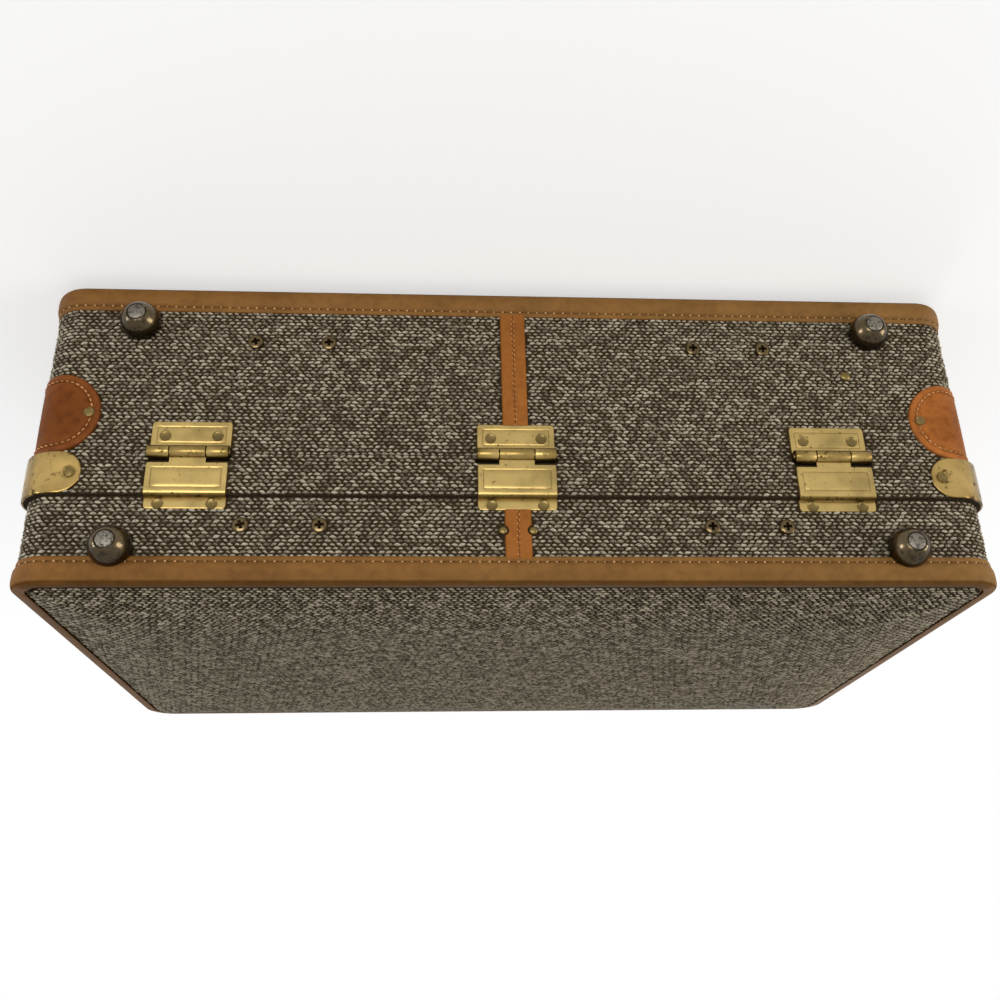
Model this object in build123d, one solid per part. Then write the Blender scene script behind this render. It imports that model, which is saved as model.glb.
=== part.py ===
from build123d import *

import math
import os

# A hard-sided tweed suitcase lying on its deep half. X runs along its length, +Y points out of
# the hinge wall, -Y out of the handle wall and +Z up through the lid. The origin is the middle of
# the flat that the case rests on. Heights are counted from the rest flat, and "lift" is a distance
# out of a wall's tweed surface. All sizes are millimetres.

# Overall size, over the edge binding.
LENGTH = 533.0
WIDTH = 318.0
EDGE_TO_EDGE = 181.0
BASE_DEPTH = 106.5
SHELL_GAP = 0.4

# Walls and faces.
CORNER_RADIUS = 18.0
CORNER_BLOCK = 8.0
TWEED = 1.5
PLY = 5.0
PANEL = 4.0
LINING = 1.2
FACE_RISE = 8.5
CROWN_RUN = 60.0
CROWN_FACETS = 3

# Leather edge binding.
BEAD_PROUD = 2.5
BEAD_HEIGHT = 10.3
BEAD_BEVEL = 2.4
FLANGE_HEIGHT = 15.5
FLANGE = 1.2
FACE_LEG = 5.5
LEG_THICK = 1.5
LIP = 1.0

# Raised band round the lid, at the parting line.
BAND_HEIGHT = 24.5
BAND_PROUD = 3.3
BAND_BEVEL = 0.8
BAND_NOTCH = 5.2
NOTCH_SPARE = 1.0

# Aluminium rim inside the base, which stands up into the lid.
RIM_FOOT = 14.0
RIM_THICK = 1.5
RIM_REACH = 6.0
RIM_CLEAR = 0.5
RIM_HEADROOM = 1.5

# Leather strap down the middle of the hinge wall.
STRAP_WIDTH = 14.6
STRAP_THICK = 1.5
STRAP_NOTCH = 3.0

# Leather corners on the base and brass guards on the lid's band.
LEATHER = 1.5
LEATHER_TALL = 49.0
LEATHER_REACH = 36.0
GUARD = 1.0
GUARD_REACH = 31.5
CORNER_RIVET = 2.7
LEATHER_RIVET_BACK = 6.0
GUARD_RIVET_BACK = 6.5

# Hinges. The outer two are placed from the case's ends.
HINGE_END = 89.0
LEAF_WIDTH = 43.5
LEAF = 1.2
LEAF_BEVEL = 1.8
KNUCKLE = 3.75
AXIS_LIFT = 4.0
AXIS_RISE = 0.5
PIN = 1.5
RUNNING = 0.05
KNUCKLE_SHARE = 19.3
KNUCKLE_GAP = 0.25
BASE_LEAF_DROP = 19.5
PANEL_DROP = 6.7
LID_LEAF_DROP = 32.5
BAND_CLEAR = 0.2
LEAF_STEP = 1.0
HINGE_RIVET = 2.85
HINGE_RIVET_SPREAD = 14.1
BASE_RIVET_DROP = 10.7
LID_RIVET_DROP = 29.7
GROOVE = 0.6
GROOVE_DEEP = 0.25
GROOVE_INSET = 3.0

# Domed glides with a crimped centre stud.
FOOT_END = 54.0
BASE_FOOT_INSET = 24.0
LID_FOOT_INSET = 20.0
FOOT_SEAT = 9.2
FOOT_BELLY = 10.7
FOOT_BELLY_AT = 0.4
FOOT_TALL = 13.6
FOOT_TOP = 6.8
STUD = 5.5
STUD_HEAD = 1.0

# Screws, rivets and plug on the hinge wall.
SCREW_ENDS = (160.5, 119.0)
SCREW = 4.5
BASE_SCREW_INSET = 35.0
LID_SCREW_INSET = 33.0
STRAP_RIVET = 2.2
STRAP_RIVET_INSET = 30.5
PLUG_END = 71.5
PLUG_INSET = 52.3
PLUG = 2.9
HEAD_SIDES = 8
HEAD_RISE = 0.28
HEAD_TAPER = 40.0

# Latches on the handle wall, one each side of the handle.
LATCH_X = 160.0
LATCH_TRAVEL = 7.0
CASE_LENGTH = 58.0
CASE_TALL = 24.0
CASE_LIFT = 6.5
CASE_WALL = 1.0
CASE_DROP = 4.0
CASE_BEVEL = 2.4
FLANGE_LENGTH = 76.0
LATCH_PLATE = 1.2
LATCH_RIVET = 2.0
HASP_WIDTH = 16.0
HASP_PLATE = 1.4
HASP_FLOAT = 0.5
HASP_KNUCKLE = 2.5
HASP_KNUCKLE_LENGTH = 6.0
HASP_AXIS_RISE = 5.5
HASP_AXIS_SINK = 0.5
HASP_PIN = 1.1
HASP_SPARE = 0.3
LID_PLATE_LENGTH = 38.0
LID_PLATE_TALL = 16.0
EYE = 2.4
EYE_TALL = 10.0
EYE_DEEP = 5.2
EYE_WINDOW = 5.6
EYE_WALL = 1.0
BOLT = 1.6
BOLT_TALL = 5.0
BOLT_TIP = 4.0
SLOT_SPARE = 0.3
NECK = 5.0
NECK_TALL = 4.0
NECK_X = 16.0
BUTTON_LENGTH = 12.0
BUTTON_TALL = 11.0
BUTTON_LIFT = 4.0
BUTTON_FLOAT = 0.2
BUTTON_RIDGES = 4
RIDGE_DEEP = 0.8

# Handle.
HANDLE_HALF = 68.0
HANDLE_INSET = 88.5
HANDLE_LIFT = 13.0
HANDLE_DROP = 38.0
HANDLE_BEND = 15.0
CORE_WIDTH = 6.0
CORE_THICK = 4.0
EYELET = 5.0
HANDLE_PIN = 2.0
EAR = 3.0
EAR_HALF = 5.5
EAR_CLEAR = 0.2
BRACKET_LENGTH = 34.0
BRACKET_TALL = 22.0
BRACKET_PLATE = 1.5
BRACKET_BEVEL = 2.5
BRACKET_RIVET_SPREAD = 12.5
GRIP_HALF = 52.0
GRIP_THICK = 18.4
GRIP_TALL = 22.8
GRIP_BEVEL = 5.0
GRIP_SHOULDER = 30.0
GRIP_END_SINK = 3.0

# Inside.
PACKING_X = 115.0
PACKING_WIDTH = 25.0
PACKING_THICK = 1.5
PACKING_HALF = 138.0
BUCKLE_LENGTH = 26.0
BUCKLE_WIDTH = 34.0
BUCKLE_BAR = 3.5
BUCKLE_THICK = 2.5
POCKET_LENGTH = 430.0
POCKET_WIDTH = 200.0
POCKET_SHIFT = 12.0
POCKET_THICK = 2.5
POCKET_HEM = 9.0
POCKET_HEM_THICK = 6.0
POCKET_BEVEL = 8.0

# Places that follow from the sizes above.
HINGE_PITCH = LENGTH / 2 - HINGE_END
FOOT_X = LENGTH / 2 - FOOT_END
PLUG_X = LENGTH / 2 - PLUG_END
SCREW_XS = tuple(LENGTH / 2 - end for end in SCREW_ENDS)
EDGE_Z = FACE_RISE - LIP
PART_Z = EDGE_Z + BASE_DEPTH
TOP_Z = 2 * EDGE_Z + EDGE_TO_EDGE
LID_DEPTH = TOP_Z - PART_Z - SHELL_GAP
WALL_X = LENGTH / 2 - BEAD_PROUD
WALL_Y = WIDTH / 2 - BEAD_PROUD
FACE_INSET = TWEED + PLY
BAND_LOW = PART_Z + SHELL_GAP
BAND_TOP = BAND_LOW + BAND_HEIGHT
AXIS_Z = PART_Z + AXIS_RISE
REAR = 1
FRONT = -1


def bevelled(wide, tall, bevel, inset=0.0):
    """A rectangle with its four corners cut off, moved in by an inset on all its sides."""
    corner = bevel - (2 - math.sqrt(2)) * inset
    return chamfer(Rectangle(wide - 2 * inset, tall - 2 * inset).vertices(), corner)


def outline(inset):
    """The case's outline inside its tweed walls: round outside, blocked corners inside."""
    if inset < FACE_INSET:
        return RectangleRounded(
            2 * (WALL_X - inset), 2 * (WALL_Y - inset), CORNER_RADIUS - inset
        )
    wide, deep = 2 * (WALL_X - FACE_INSET), 2 * (WALL_Y - FACE_INSET)
    return bevelled(wide, deep, CORNER_BLOCK, inset - FACE_INSET)


def ring(outer, inner, low, high):
    """A wall that runs round the case between two insets and two heights."""
    return extrude(Pos(0, 0, low) * (outline(outer) - outline(inner)), high - low)


def block(inset, low, high):
    """Everything inside a given inset, between two heights."""
    return extrude(Pos(0, 0, low) * outline(inset), high - low)


def crown_profile(half, high):
    """The section of the space over a crowned face, across one direction."""
    edge = half - FACE_INSET
    arc = (CROWN_RUN**2 + FACE_RISE**2) / (2 * FACE_RISE)
    rise = []
    for step in range(1, CROWN_FACETS + 1):
        run = CROWN_RUN * step / CROWN_FACETS
        rise.append((edge - CROWN_RUN + run, arc - math.sqrt(arc**2 - run**2)))
    right = [(edge - CROWN_RUN, 0), *rise, (edge, high)]
    left = [(-x, z) for x, z in reversed(right)]
    return Polygon(*right, *left, align=None)


def crown(high):
    """The space over a crowned face: a flat middle that rises in facets on an arc to its edge."""
    across = extrude(Plane.XZ * crown_profile(WALL_X, high), WIDTH, both=True)
    along = extrude(Plane.YZ * crown_profile(WALL_Y, high), LENGTH, both=True)
    return across & along & block(FACE_INSET, 0, high)


def face_layer(depth, thick, high):
    """One layer of a crowned face, whose outer side lies at a depth under the tweed's surface."""
    return Pos(0, 0, depth) * crown(high) - Pos(0, 0, depth + thick) * crown(high + 1)


def to_lid(shape):
    """Turns a piece built on the base's face into the lid's piece."""
    return Pos(0, 0, TOP_Z) * mirror(shape, about=Plane.XY)


def wall_plane(side, lift=0.0):
    """A plane on the hinge or handle wall, with its own y up and its normal out of the wall."""
    return Plane(
        origin=(0, side * (WALL_Y + lift), 0), x_dir=(-side, 0, 0), z_dir=(0, side, 0)
    )


def on_wall(side, x, z, sketch, thick, lift=0.0):
    """A plate on a wall, with its middle at x and z."""
    return extrude(wall_plane(side, lift) * Pos(-side * x, z) * sketch, thick)


def section_bar(side, x, width, sketch):
    """A bar along X whose section is drawn as lift against height."""
    plane = Plane(origin=(x, side * WALL_Y, 0), x_dir=(0, side, 0), z_dir=(side, 0, 0))
    return extrude(plane * sketch, width / 2, both=True)


def lift_box(side, x, width, lift, z):
    """A box on a wall from ranges of lift and height, centred on x."""
    middle = Pos((lift[0] + lift[1]) / 2, (z[0] + z[1]) / 2)
    return section_bar(side, x, width, middle * Rectangle(lift[1] - lift[0], z[1] - z[0]))


def on_axis(side, x, lift, z, radius, length):
    """A round bar along X."""
    return section_bar(side, x, length, Pos(lift, z) * Circle(radius))


def fastener(radius):
    """A shallow domed head, with few facets because there are many of them."""
    return extrude(RegularPolygon(radius, HEAD_SIDES), radius * HEAD_RISE, taper=HEAD_TAPER)


def place_heads(side, spots, head, lift=0.0):
    """Copies of a fastener on a wall, one solid for each (x, z)."""
    plane = wall_plane(side, lift)
    return [plane.location * Pos(-side * x, z) * head for x, z in spots]


def binding(foot_inset):
    """The leather edge: a flange on the wall, a rolled bead and a lip, cut round the two feet."""
    path = Pos(0, 0, EDGE_Z) * outline(0).wire()
    start, along = path @ 0, path % 0
    plane = Plane(origin=start, x_dir=(along.Y, -along.X, 0), z_dir=along)
    up = 1 if plane.y_dir.Z > 0 else -1
    section = plane * Polygon(
        (BEAD_PROUD - BEAD_BEVEL, 0),
        (BEAD_PROUD, up * BEAD_BEVEL),
        (BEAD_PROUD, up * BEAD_HEIGHT),
        (FLANGE, up * FLANGE_HEIGHT),
        (0, up * FLANGE_HEIGHT),
        (0, up * LEG_THICK),
        (-FACE_LEG, up * LEG_THICK),
        (-FACE_LEG, 0),
        align=None,
    )
    spots = [(-FOOT_X, EDGE_Z + foot_inset), (FOOT_X, EDGE_Z + foot_inset)]
    return sweep(section, path) - place_heads(REAR, spots, foot())


def shell_half(depth, rim_room, foot_inset):
    """The walls, face, coverings and lining of one half, built on its own face."""
    wall_low = EDGE_Z + LEG_THICK
    liner_high = depth - rim_room
    floor = TWEED + PANEL
    liner = Pos(0, 0, floor) * crown(liner_high) & block(FACE_INSET, 0, liner_high)
    hollow = Pos(0, 0, floor + LINING) * crown(liner_high + 1)
    return {
        "wall_frame": ring(TWEED, FACE_INSET, wall_low, depth),
        "wall_covering": ring(0, TWEED, wall_low, depth),
        "face_covering": face_layer(0, TWEED, depth),
        "face_panel": face_layer(TWEED, PANEL, depth),
        "lining": liner - (hollow & block(FACE_INSET + LINING, 0, liner_high + 1)),
        "binding": binding(foot_inset),
    }


def inner_rim():
    """The rim that stands up out of the base into the lid and keeps the halves in line."""
    inner = FACE_INSET + RIM_THICK
    foot = ring(FACE_INSET, inner, PART_Z - RIM_FOOT, PART_Z)
    return foot + ring(FACE_INSET + RIM_CLEAR, inner, PART_Z, PART_Z + RIM_REACH)


def hinge_xs():
    return {"left": -HINGE_PITCH, "centre": 0.0, "right": HINGE_PITCH}


def raised_band():
    """The tweed-covered band, bevelled top and bottom and notched for the hinge barrels."""
    band = ring(-BAND_PROUD, 0, BAND_LOW, BAND_TOP)
    band = chamfer(band.faces().sort_by(Axis.Z)[0].outer_wire().edges(), BAND_BEVEL)
    band = chamfer(band.faces().sort_by(Axis.Z)[-1].outer_wire().edges(), BAND_BEVEL)
    wide = LEAF_WIDTH + 2 * NOTCH_SPARE
    for x in hinge_xs().values():
        band -= lift_box(
            REAR, x, wide, (0, BAND_PROUD + 1), (PART_Z, BAND_LOW + BAND_NOTCH)
        )
    return band


def d_cutter(tall, reach, z):
    """Keeps a D-ended tongue on each long wall near the case's four vertical edges."""
    radius = tall / 2
    side = Pos(WALL_X - reach + radius, z) * Circle(radius)
    side += Pos(WALL_X + radius, z) * Rectangle(2 * reach, tall)
    along_x = extrude(Plane.XZ * side, WIDTH, both=True)
    end = Pos(WALL_Y - reach + radius, z) * Circle(radius)
    end += Pos(WALL_Y + radius, z) * Rectangle(2 * reach, tall)
    along_y = extrude(Plane.YZ * end, LENGTH, both=True)
    return along_x & along_y


def four_corners(layer, tall, reach, z):
    """One bent corner piece cut from a ring, repeated at the four vertical edges."""
    piece = layer & d_cutter(tall, reach, z)
    beside = mirror(piece, about=Plane.YZ)
    return [piece, beside, mirror(piece, about=Plane.XZ), mirror(beside, about=Plane.XZ)]


def corner_heads(back, reach, lift, z):
    """Rivets through both tongues of the four corner pieces."""
    head = fastener(CORNER_RIVET)
    x = WALL_X - reach + back
    y = WALL_Y - reach + back
    heads = place_heads(REAR, [(-x, z), (x, z)], head, lift)
    heads += place_heads(FRONT, [(-x, z), (x, z)], head, lift)
    for side in (-1, 1):
        plane = Plane(origin=(side * (WALL_X + lift), 0, 0), x_dir=(0, side, 0), z_dir=(side, 0, 0))
        heads += [plane.location * Pos(side * spot, z) * head for spot in (-y, y)]
    return heads


def centre_strap(low, high):
    middle = (low + high) / 2
    return on_wall(REAR, 0, middle, Rectangle(STRAP_WIDTH, high - low), STRAP_THICK)


def foot():
    """A domed glide, standing on local XY."""
    belly = FOOT_TALL * FOOT_BELLY_AT
    under = math.degrees(math.atan((FOOT_BELLY - FOOT_SEAT) / belly))
    over = math.degrees(math.atan((FOOT_BELLY - FOOT_TOP) / (FOOT_TALL - belly)))
    widest = Pos(0, 0, belly) * RegularPolygon(FOOT_BELLY, 2 * HEAD_SIDES)
    lower = extrude(widest, -belly, taper=under)
    return lower + extrude(widest, FOOT_TALL - belly, taper=over)


def framed_groove(x, low, high, lift):
    """A shallow incised rectangle, cut into a leaf's face."""
    wide, tall = LEAF_WIDTH - 2 * GROOVE_INSET, high - low
    line = Rectangle(wide, tall) - Rectangle(wide - 2 * GROOVE, tall - 2 * GROOVE)
    return on_wall(REAR, x, (low + high) / 2, line, GROOVE_DEEP + 1, lift - GROOVE_DEEP)


def base_leaf(x):
    """The flat leaf on the base, rolled into the two outer knuckles that hold the staked pin."""
    low = PART_Z - BASE_LEAF_DROP
    plate = on_wall(
        REAR,
        x,
        (low + AXIS_Z + LEAF_BEVEL) / 2,
        bevelled(LEAF_WIDTH, AXIS_Z + LEAF_BEVEL - low, LEAF_BEVEL),
        LEAF,
    )
    plate -= lift_box(REAR, x, LEAF_WIDTH + 2, (-1, LEAF + 1), (AXIS_Z, AXIS_Z + LEAF_WIDTH))
    leaf = plate + on_axis(REAR, x, AXIS_LIFT, AXIS_Z, KNUCKLE, LEAF_WIDTH)
    gap = KNUCKLE_SHARE + 2 * KNUCKLE_GAP
    sweep_radius = KNUCKLE + KNUCKLE_GAP
    leaf -= lift_box(
        REAR, x, gap, (-1, AXIS_LIFT + sweep_radius), (AXIS_Z - sweep_radius, AXIS_Z + KNUCKLE + 1)
    )
    leaf += on_axis(REAR, x, AXIS_LIFT, AXIS_Z, PIN, gap)
    frame_high = AXIS_Z - KNUCKLE - GROOVE_INSET / 2
    return leaf - framed_groove(x, low + GROOVE_INSET, frame_high, LEAF)


def lid_leaf(x):
    """The leaf formed over the lid's raised band, with the middle knuckle and a riveted flange."""
    face = BAND_PROUD + BAND_CLEAR
    top = PART_Z + PANEL_DROP
    step = BAND_TOP + BAND_CLEAR
    end = PART_Z + LID_LEAF_DROP
    with BuildSketch() as side:
        with BuildLine():
            Polyline(
                (face, top),
                (face + LEAF, top),
                (face + LEAF, step - LEAF_STEP / 2),
                (face, step + LEAF),
                (LEAF, step + LEAF + LEAF_STEP / 2),
                (LEAF, end),
                (0, end),
                (0, step),
                (face, step),
                (face, top),
            )
        make_face()
    leaf = section_bar(REAR, x, LEAF_WIDTH, side.sketch)
    tall = end - top
    outer = bevelled(LEAF_WIDTH, tall + LEAF_BEVEL, LEAF_BEVEL)
    leaf &= on_wall(REAR, x, end - (tall + LEAF_BEVEL) / 2, outer, face + LEAF + 1, -1)
    leaf += lift_box(REAR, x, KNUCKLE_SHARE, (face, face + LEAF), (AXIS_Z, top + 1))
    leaf += on_axis(REAR, x, AXIS_LIFT, AXIS_Z, KNUCKLE, KNUCKLE_SHARE)
    leaf -= on_axis(REAR, x, AXIS_LIFT, AXIS_Z, PIN + RUNNING, KNUCKLE_SHARE + 2)
    frame_high = step - LEAF_STEP / 2 - GROOVE_INSET
    return leaf - framed_groove(x, top + GROOVE_INSET / 2, frame_high, face + LEAF)


def hinge_rivets(z):
    spots = []
    for x in hinge_xs().values():
        spots += [(x - HINGE_RIVET_SPREAD, z), (x + HINGE_RIVET_SPREAD, z)]
    return place_heads(REAR, spots, fastener(HINGE_RIVET), LEAF)


def case_z():
    """The height of the middle of a latch case."""
    return PART_Z - CASE_DROP - CASE_TALL / 2


def hasp_axis():
    """Lift and height of the axis that a hasp turns on."""
    return (BAND_PROUD + LATCH_PLATE + HASP_KNUCKLE - HASP_AXIS_SINK, BAND_LOW + HASP_AXIS_RISE)


def latch_case():
    """The right latch's pressed cover, open at the back, with slots for the eye and the neck."""
    z = case_z()
    cover = on_wall(
        FRONT, LATCH_X, z, bevelled(FLANGE_LENGTH, CASE_TALL, CASE_BEVEL), LATCH_PLATE
    )
    raised = on_wall(
        FRONT, LATCH_X, z, bevelled(CASE_LENGTH, CASE_TALL, CASE_BEVEL), CASE_LIFT
    )
    raised = chamfer(raised.faces().sort_by(Axis.Y)[0].outer_wire().edges(), CASE_WALL * 0.9)
    hollow = Rectangle(CASE_LENGTH - 2 * CASE_WALL - CASE_BEVEL, CASE_TALL - 2 * CASE_WALL)
    cover = cover + raised - on_wall(FRONT, LATCH_X, z, hollow, CASE_LIFT - CASE_WALL)
    eye_slot = Rectangle(EYE + 4 * SLOT_SPARE, EYE_TALL + 8 * SLOT_SPARE)
    cover -= on_wall(FRONT, LATCH_X, z, eye_slot, CASE_LIFT)
    neck_slot = Rectangle(NECK + LATCH_TRAVEL + 2 * SLOT_SPARE, NECK_TALL + 2 * SLOT_SPARE)
    cover -= on_wall(FRONT, LATCH_X + NECK_X + LATCH_TRAVEL / 2, z, neck_slot, CASE_LIFT)
    return cover


def latch_slider():
    """The right latch's bolt, neck and ridged button, at rest with the bolt through the eye."""
    z = case_z()
    bolt_low = (CASE_LIFT - CASE_WALL - BOLT) / 2
    start, end = -BOLT_TIP, NECK_X + NECK / 2
    bolt = lift_box(
        FRONT,
        LATCH_X + (start + end) / 2,
        end - start,
        (bolt_low, bolt_low + BOLT),
        (z - BOLT_TALL / 2, z + BOLT_TALL / 2),
    )
    neck_x = LATCH_X + NECK_X
    float_lift = CASE_LIFT + BUTTON_FLOAT
    neck = lift_box(
        FRONT, neck_x, NECK, (bolt_low, float_lift + 1), (z - NECK_TALL / 2, z + NECK_TALL / 2)
    )
    shape = Rectangle(BUTTON_LENGTH, BUTTON_TALL)
    button = on_wall(FRONT, neck_x, z, shape, BUTTON_LIFT, float_lift)
    button = chamfer(button.faces().sort_by(Axis.Y)[0].outer_wire().edges(), RIDGE_DEEP)
    pitch = (BUTTON_LENGTH - 4 * RIDGE_DEEP) / BUTTON_RIDGES
    for index in range(BUTTON_RIDGES):
        x = neck_x + (index - (BUTTON_RIDGES - 1) / 2) * pitch
        button -= lift_box(
            FRONT,
            x,
            pitch / 2,
            (float_lift + BUTTON_LIFT - RIDGE_DEEP, float_lift + BUTTON_LIFT + 1),
            (z - BUTTON_TALL, z + BUTTON_TALL),
        )
    return bolt + neck + button


def lid_plate():
    """The right latch's plate on the lid's band, whose two knuckles hold the hasp's staked pin."""
    lift, axis_z = hasp_axis()
    plate = on_wall(
        FRONT,
        LATCH_X,
        axis_z + LID_PLATE_TALL / 2,
        bevelled(LID_PLATE_LENGTH, LID_PLATE_TALL, LEAF_BEVEL),
        LATCH_PLATE,
        BAND_PROUD,
    )
    offset = HASP_WIDTH / 2 + HASP_SPARE + HASP_KNUCKLE_LENGTH / 2
    for side in (-1, 1):
        x = LATCH_X + side * offset
        plate += on_axis(FRONT, x, lift, axis_z, HASP_KNUCKLE, HASP_KNUCKLE_LENGTH)
    clear = HASP_KNUCKLE + HASP_SPARE
    plate -= lift_box(
        FRONT,
        LATCH_X,
        HASP_WIDTH + 2 * HASP_SPARE,
        (BAND_PROUD - 1, lift + clear),
        (axis_z - clear, axis_z + clear),
    )
    return plate + on_axis(FRONT, LATCH_X, lift, axis_z, HASP_PIN, HASP_WIDTH + 2 * HASP_SPARE)


def hasp():
    """The right latch's hasp: a knuckle, a tongue over the case and the eye behind it."""
    lift, axis_z = hasp_axis()
    z = case_z()
    back = CASE_LIFT + HASP_FLOAT
    low = z - EYE_TALL / 2 - EYE_WALL * 3
    tongue = on_wall(
        FRONT,
        LATCH_X,
        (low + axis_z) / 2,
        bevelled(HASP_WIDTH, axis_z - low, HASP_WIDTH / 4),
        HASP_PLATE,
        back,
    )
    tongue += lift_box(
        FRONT, LATCH_X, HASP_WIDTH, (back, back + HASP_PLATE), (z + EYE_TALL / 2, axis_z)
    )
    tongue += on_axis(FRONT, LATCH_X, lift, axis_z, HASP_KNUCKLE, HASP_WIDTH)
    tongue -= on_axis(FRONT, LATCH_X, lift, axis_z, HASP_PIN + RUNNING, HASP_WIDTH + 2)
    eye = lift_box(
        FRONT,
        LATCH_X,
        EYE,
        (back - EYE_DEEP - EYE_WALL, back + HASP_PLATE / 2),
        (z - EYE_TALL / 2, z + EYE_TALL / 2),
    )
    bolt_low = (CASE_LIFT - CASE_WALL - BOLT) / 2
    eye -= lift_box(
        FRONT,
        LATCH_X,
        EYE + 2,
        (bolt_low - SLOT_SPARE, bolt_low + BOLT + SLOT_SPARE),
        (z - EYE_WINDOW / 2, z + EYE_WINDOW / 2),
    )
    return tongue + eye


def left_of(shape):
    return mirror(shape, about=Plane.YZ)


def latch_heads(xs, z, lift):
    return place_heads(FRONT, [(x, z) for x in xs], fastener(LATCH_RIVET), lift)


def handle_z():
    return EDGE_Z + HANDLE_INSET


def bracket(x):
    """A riveted plate with two ears and the pin staked between them."""
    z = handle_z()
    shape = bevelled(BRACKET_LENGTH, BRACKET_TALL, BRACKET_BEVEL)
    plate = on_wall(FRONT, x, z, shape, BRACKET_PLATE)
    reach = HANDLE_LIFT + EAR_HALF
    ear = Pos(reach / 2, z) * bevelled(reach, 2 * EAR_HALF, EAR_HALF / 2)
    ear += Pos(HANDLE_LIFT / 2, z) * Rectangle(HANDLE_LIFT, 2 * EAR_HALF)
    for side in (-1, 1):
        middle = x + side * (CORE_WIDTH / 2 + EAR_CLEAR + EAR / 2)
        plate += section_bar(FRONT, middle, EAR, ear)
    return plate + on_axis(FRONT, x, HANDLE_LIFT, z, HANDLE_PIN, CORE_WIDTH + 2 * EAR_CLEAR)


def handle_core():
    """A flat steel bow with an eyelet at each end, hanging from the brackets."""
    z = handle_z()
    low = z - HANDLE_DROP
    half_out, half_in = HANDLE_HALF + CORE_WIDTH / 2, HANDLE_HALF - CORE_WIDTH / 2
    low_out, low_in = low - CORE_WIDTH / 2, low + CORE_WIDTH / 2
    outer = Polygon(
        (-half_out, z),
        (-half_out, low_out + HANDLE_BEND),
        (-half_out + HANDLE_BEND, low_out),
        (half_out - HANDLE_BEND, low_out),
        (half_out, low_out + HANDLE_BEND),
        (half_out, z),
        align=None,
    )
    bend = HANDLE_BEND - CORE_WIDTH * (2 - math.sqrt(2)) / 2
    inner = Polygon(
        (-half_in, z + 1),
        (-half_in, low_in + bend),
        (-half_in + bend, low_in),
        (half_in - bend, low_in),
        (half_in, low_in + bend),
        (half_in, z + 1),
        align=None,
    )
    core = on_wall(FRONT, 0, 0, outer - inner, CORE_THICK, HANDLE_LIFT - CORE_THICK / 2)
    for side in (-1, 1):
        eyelet = Pos(HANDLE_LIFT, z) * RegularPolygon(EYELET, 2 * HEAD_SIDES)
        core += section_bar(FRONT, side * HANDLE_HALF, CORE_WIDTH, eyelet)
    return core - on_axis(FRONT, 0, HANDLE_LIFT, z, HANDLE_PIN + RUNNING, 3 * HANDLE_HALF)


def grip_outline(thick):
    """The grip's outline along its length, drawn in at both ends."""
    end = thick / 2 - GRIP_END_SINK
    lower = [(-GRIP_HALF, -end), (-GRIP_SHOULDER, -thick / 2), (GRIP_SHOULDER, -thick / 2)]
    upper = [(GRIP_HALF, end), (GRIP_SHOULDER, thick / 2), (-GRIP_SHOULDER, thick / 2)]
    return Polygon(*lower, (GRIP_HALF, -end), *upper, (-GRIP_HALF, end), align=None)


def handle_grip(core):
    """The leather grip, fuller in its middle, stitched round the bow."""
    low = handle_z() - HANDLE_DROP
    section = Pos(HANDLE_LIFT, low) * bevelled(GRIP_THICK, GRIP_TALL, GRIP_BEVEL)
    grip = section_bar(FRONT, 0, 2 * GRIP_HALF, section)
    grip &= on_wall(
        FRONT, 0, low, grip_outline(GRIP_TALL), GRIP_THICK, HANDLE_LIFT - GRIP_THICK / 2
    )
    seen_from_above = Pos(0, -(WALL_Y + HANDLE_LIFT), low - GRIP_TALL / 2)
    grip &= extrude(seen_from_above * grip_outline(GRIP_THICK), GRIP_TALL)
    return grip - core


def bracket_rivets():
    spots = [
        (side * HANDLE_HALF + near * BRACKET_RIVET_SPREAD, handle_z())
        for side in (-1, 1)
        for near in (-1, 1)
    ]
    return place_heads(FRONT, spots, fastener(LATCH_RIVET), BRACKET_PLATE)


def packing_straps():
    """Two straps that lie over the floor of the base and turn up its sides."""
    depth = TWEED + PANEL + LINING
    layer = Pos(0, 0, depth) * crown(PART_Z) - Pos(0, 0, depth + PACKING_THICK) * crown(PART_Z)
    layer &= block(FACE_INSET + LINING, 0, PART_Z)
    straps = []
    for side in (-1, 1):
        span = Pos(side * PACKING_X, 0, PART_Z / 2)
        straps.append(layer & span * Box(PACKING_WIDTH, 2 * PACKING_HALF, PART_Z))
    return straps


def buckles():
    """A rectangular buckle with a middle bar on each packing strap."""
    z = TWEED + PANEL + LINING + PACKING_THICK
    frame = Rectangle(BUCKLE_WIDTH, BUCKLE_LENGTH)
    window = (BUCKLE_LENGTH - 3 * BUCKLE_BAR) / 2
    for side in (-1, 1):
        middle = side * (window + BUCKLE_BAR) / 2
        frame -= Pos(0, middle) * Rectangle(BUCKLE_WIDTH - 2 * BUCKLE_BAR, window)
    shape = extrude(frame, BUCKLE_THICK)
    return [Pos(side * PACKING_X, 0, z) * shape for side in (-1, 1)]


def lid_pocket():
    """The gathered pocket against the lid's lining, with its elastic hem."""
    depth = TWEED + PANEL + LINING
    start = Pos(0, 0, depth) * crown(LID_DEPTH)
    panel = bevelled(POCKET_LENGTH, POCKET_WIDTH, POCKET_BEVEL)
    layer = start - Pos(0, 0, depth + POCKET_THICK) * crown(LID_DEPTH)
    pocket = layer & extrude(Pos(0, POCKET_SHIFT) * panel, LID_DEPTH)
    hem_y = POCKET_SHIFT - POCKET_WIDTH / 2 + POCKET_HEM / 2
    hem_layer = start - Pos(0, 0, depth + POCKET_HEM_THICK) * crown(LID_DEPTH)
    length = POCKET_LENGTH - 2 * POCKET_BEVEL
    hem = hem_layer & Pos(0, hem_y, LID_DEPTH / 2) * Box(length, POCKET_HEM, LID_DEPTH)
    return to_lid(pocket + hem)


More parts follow.
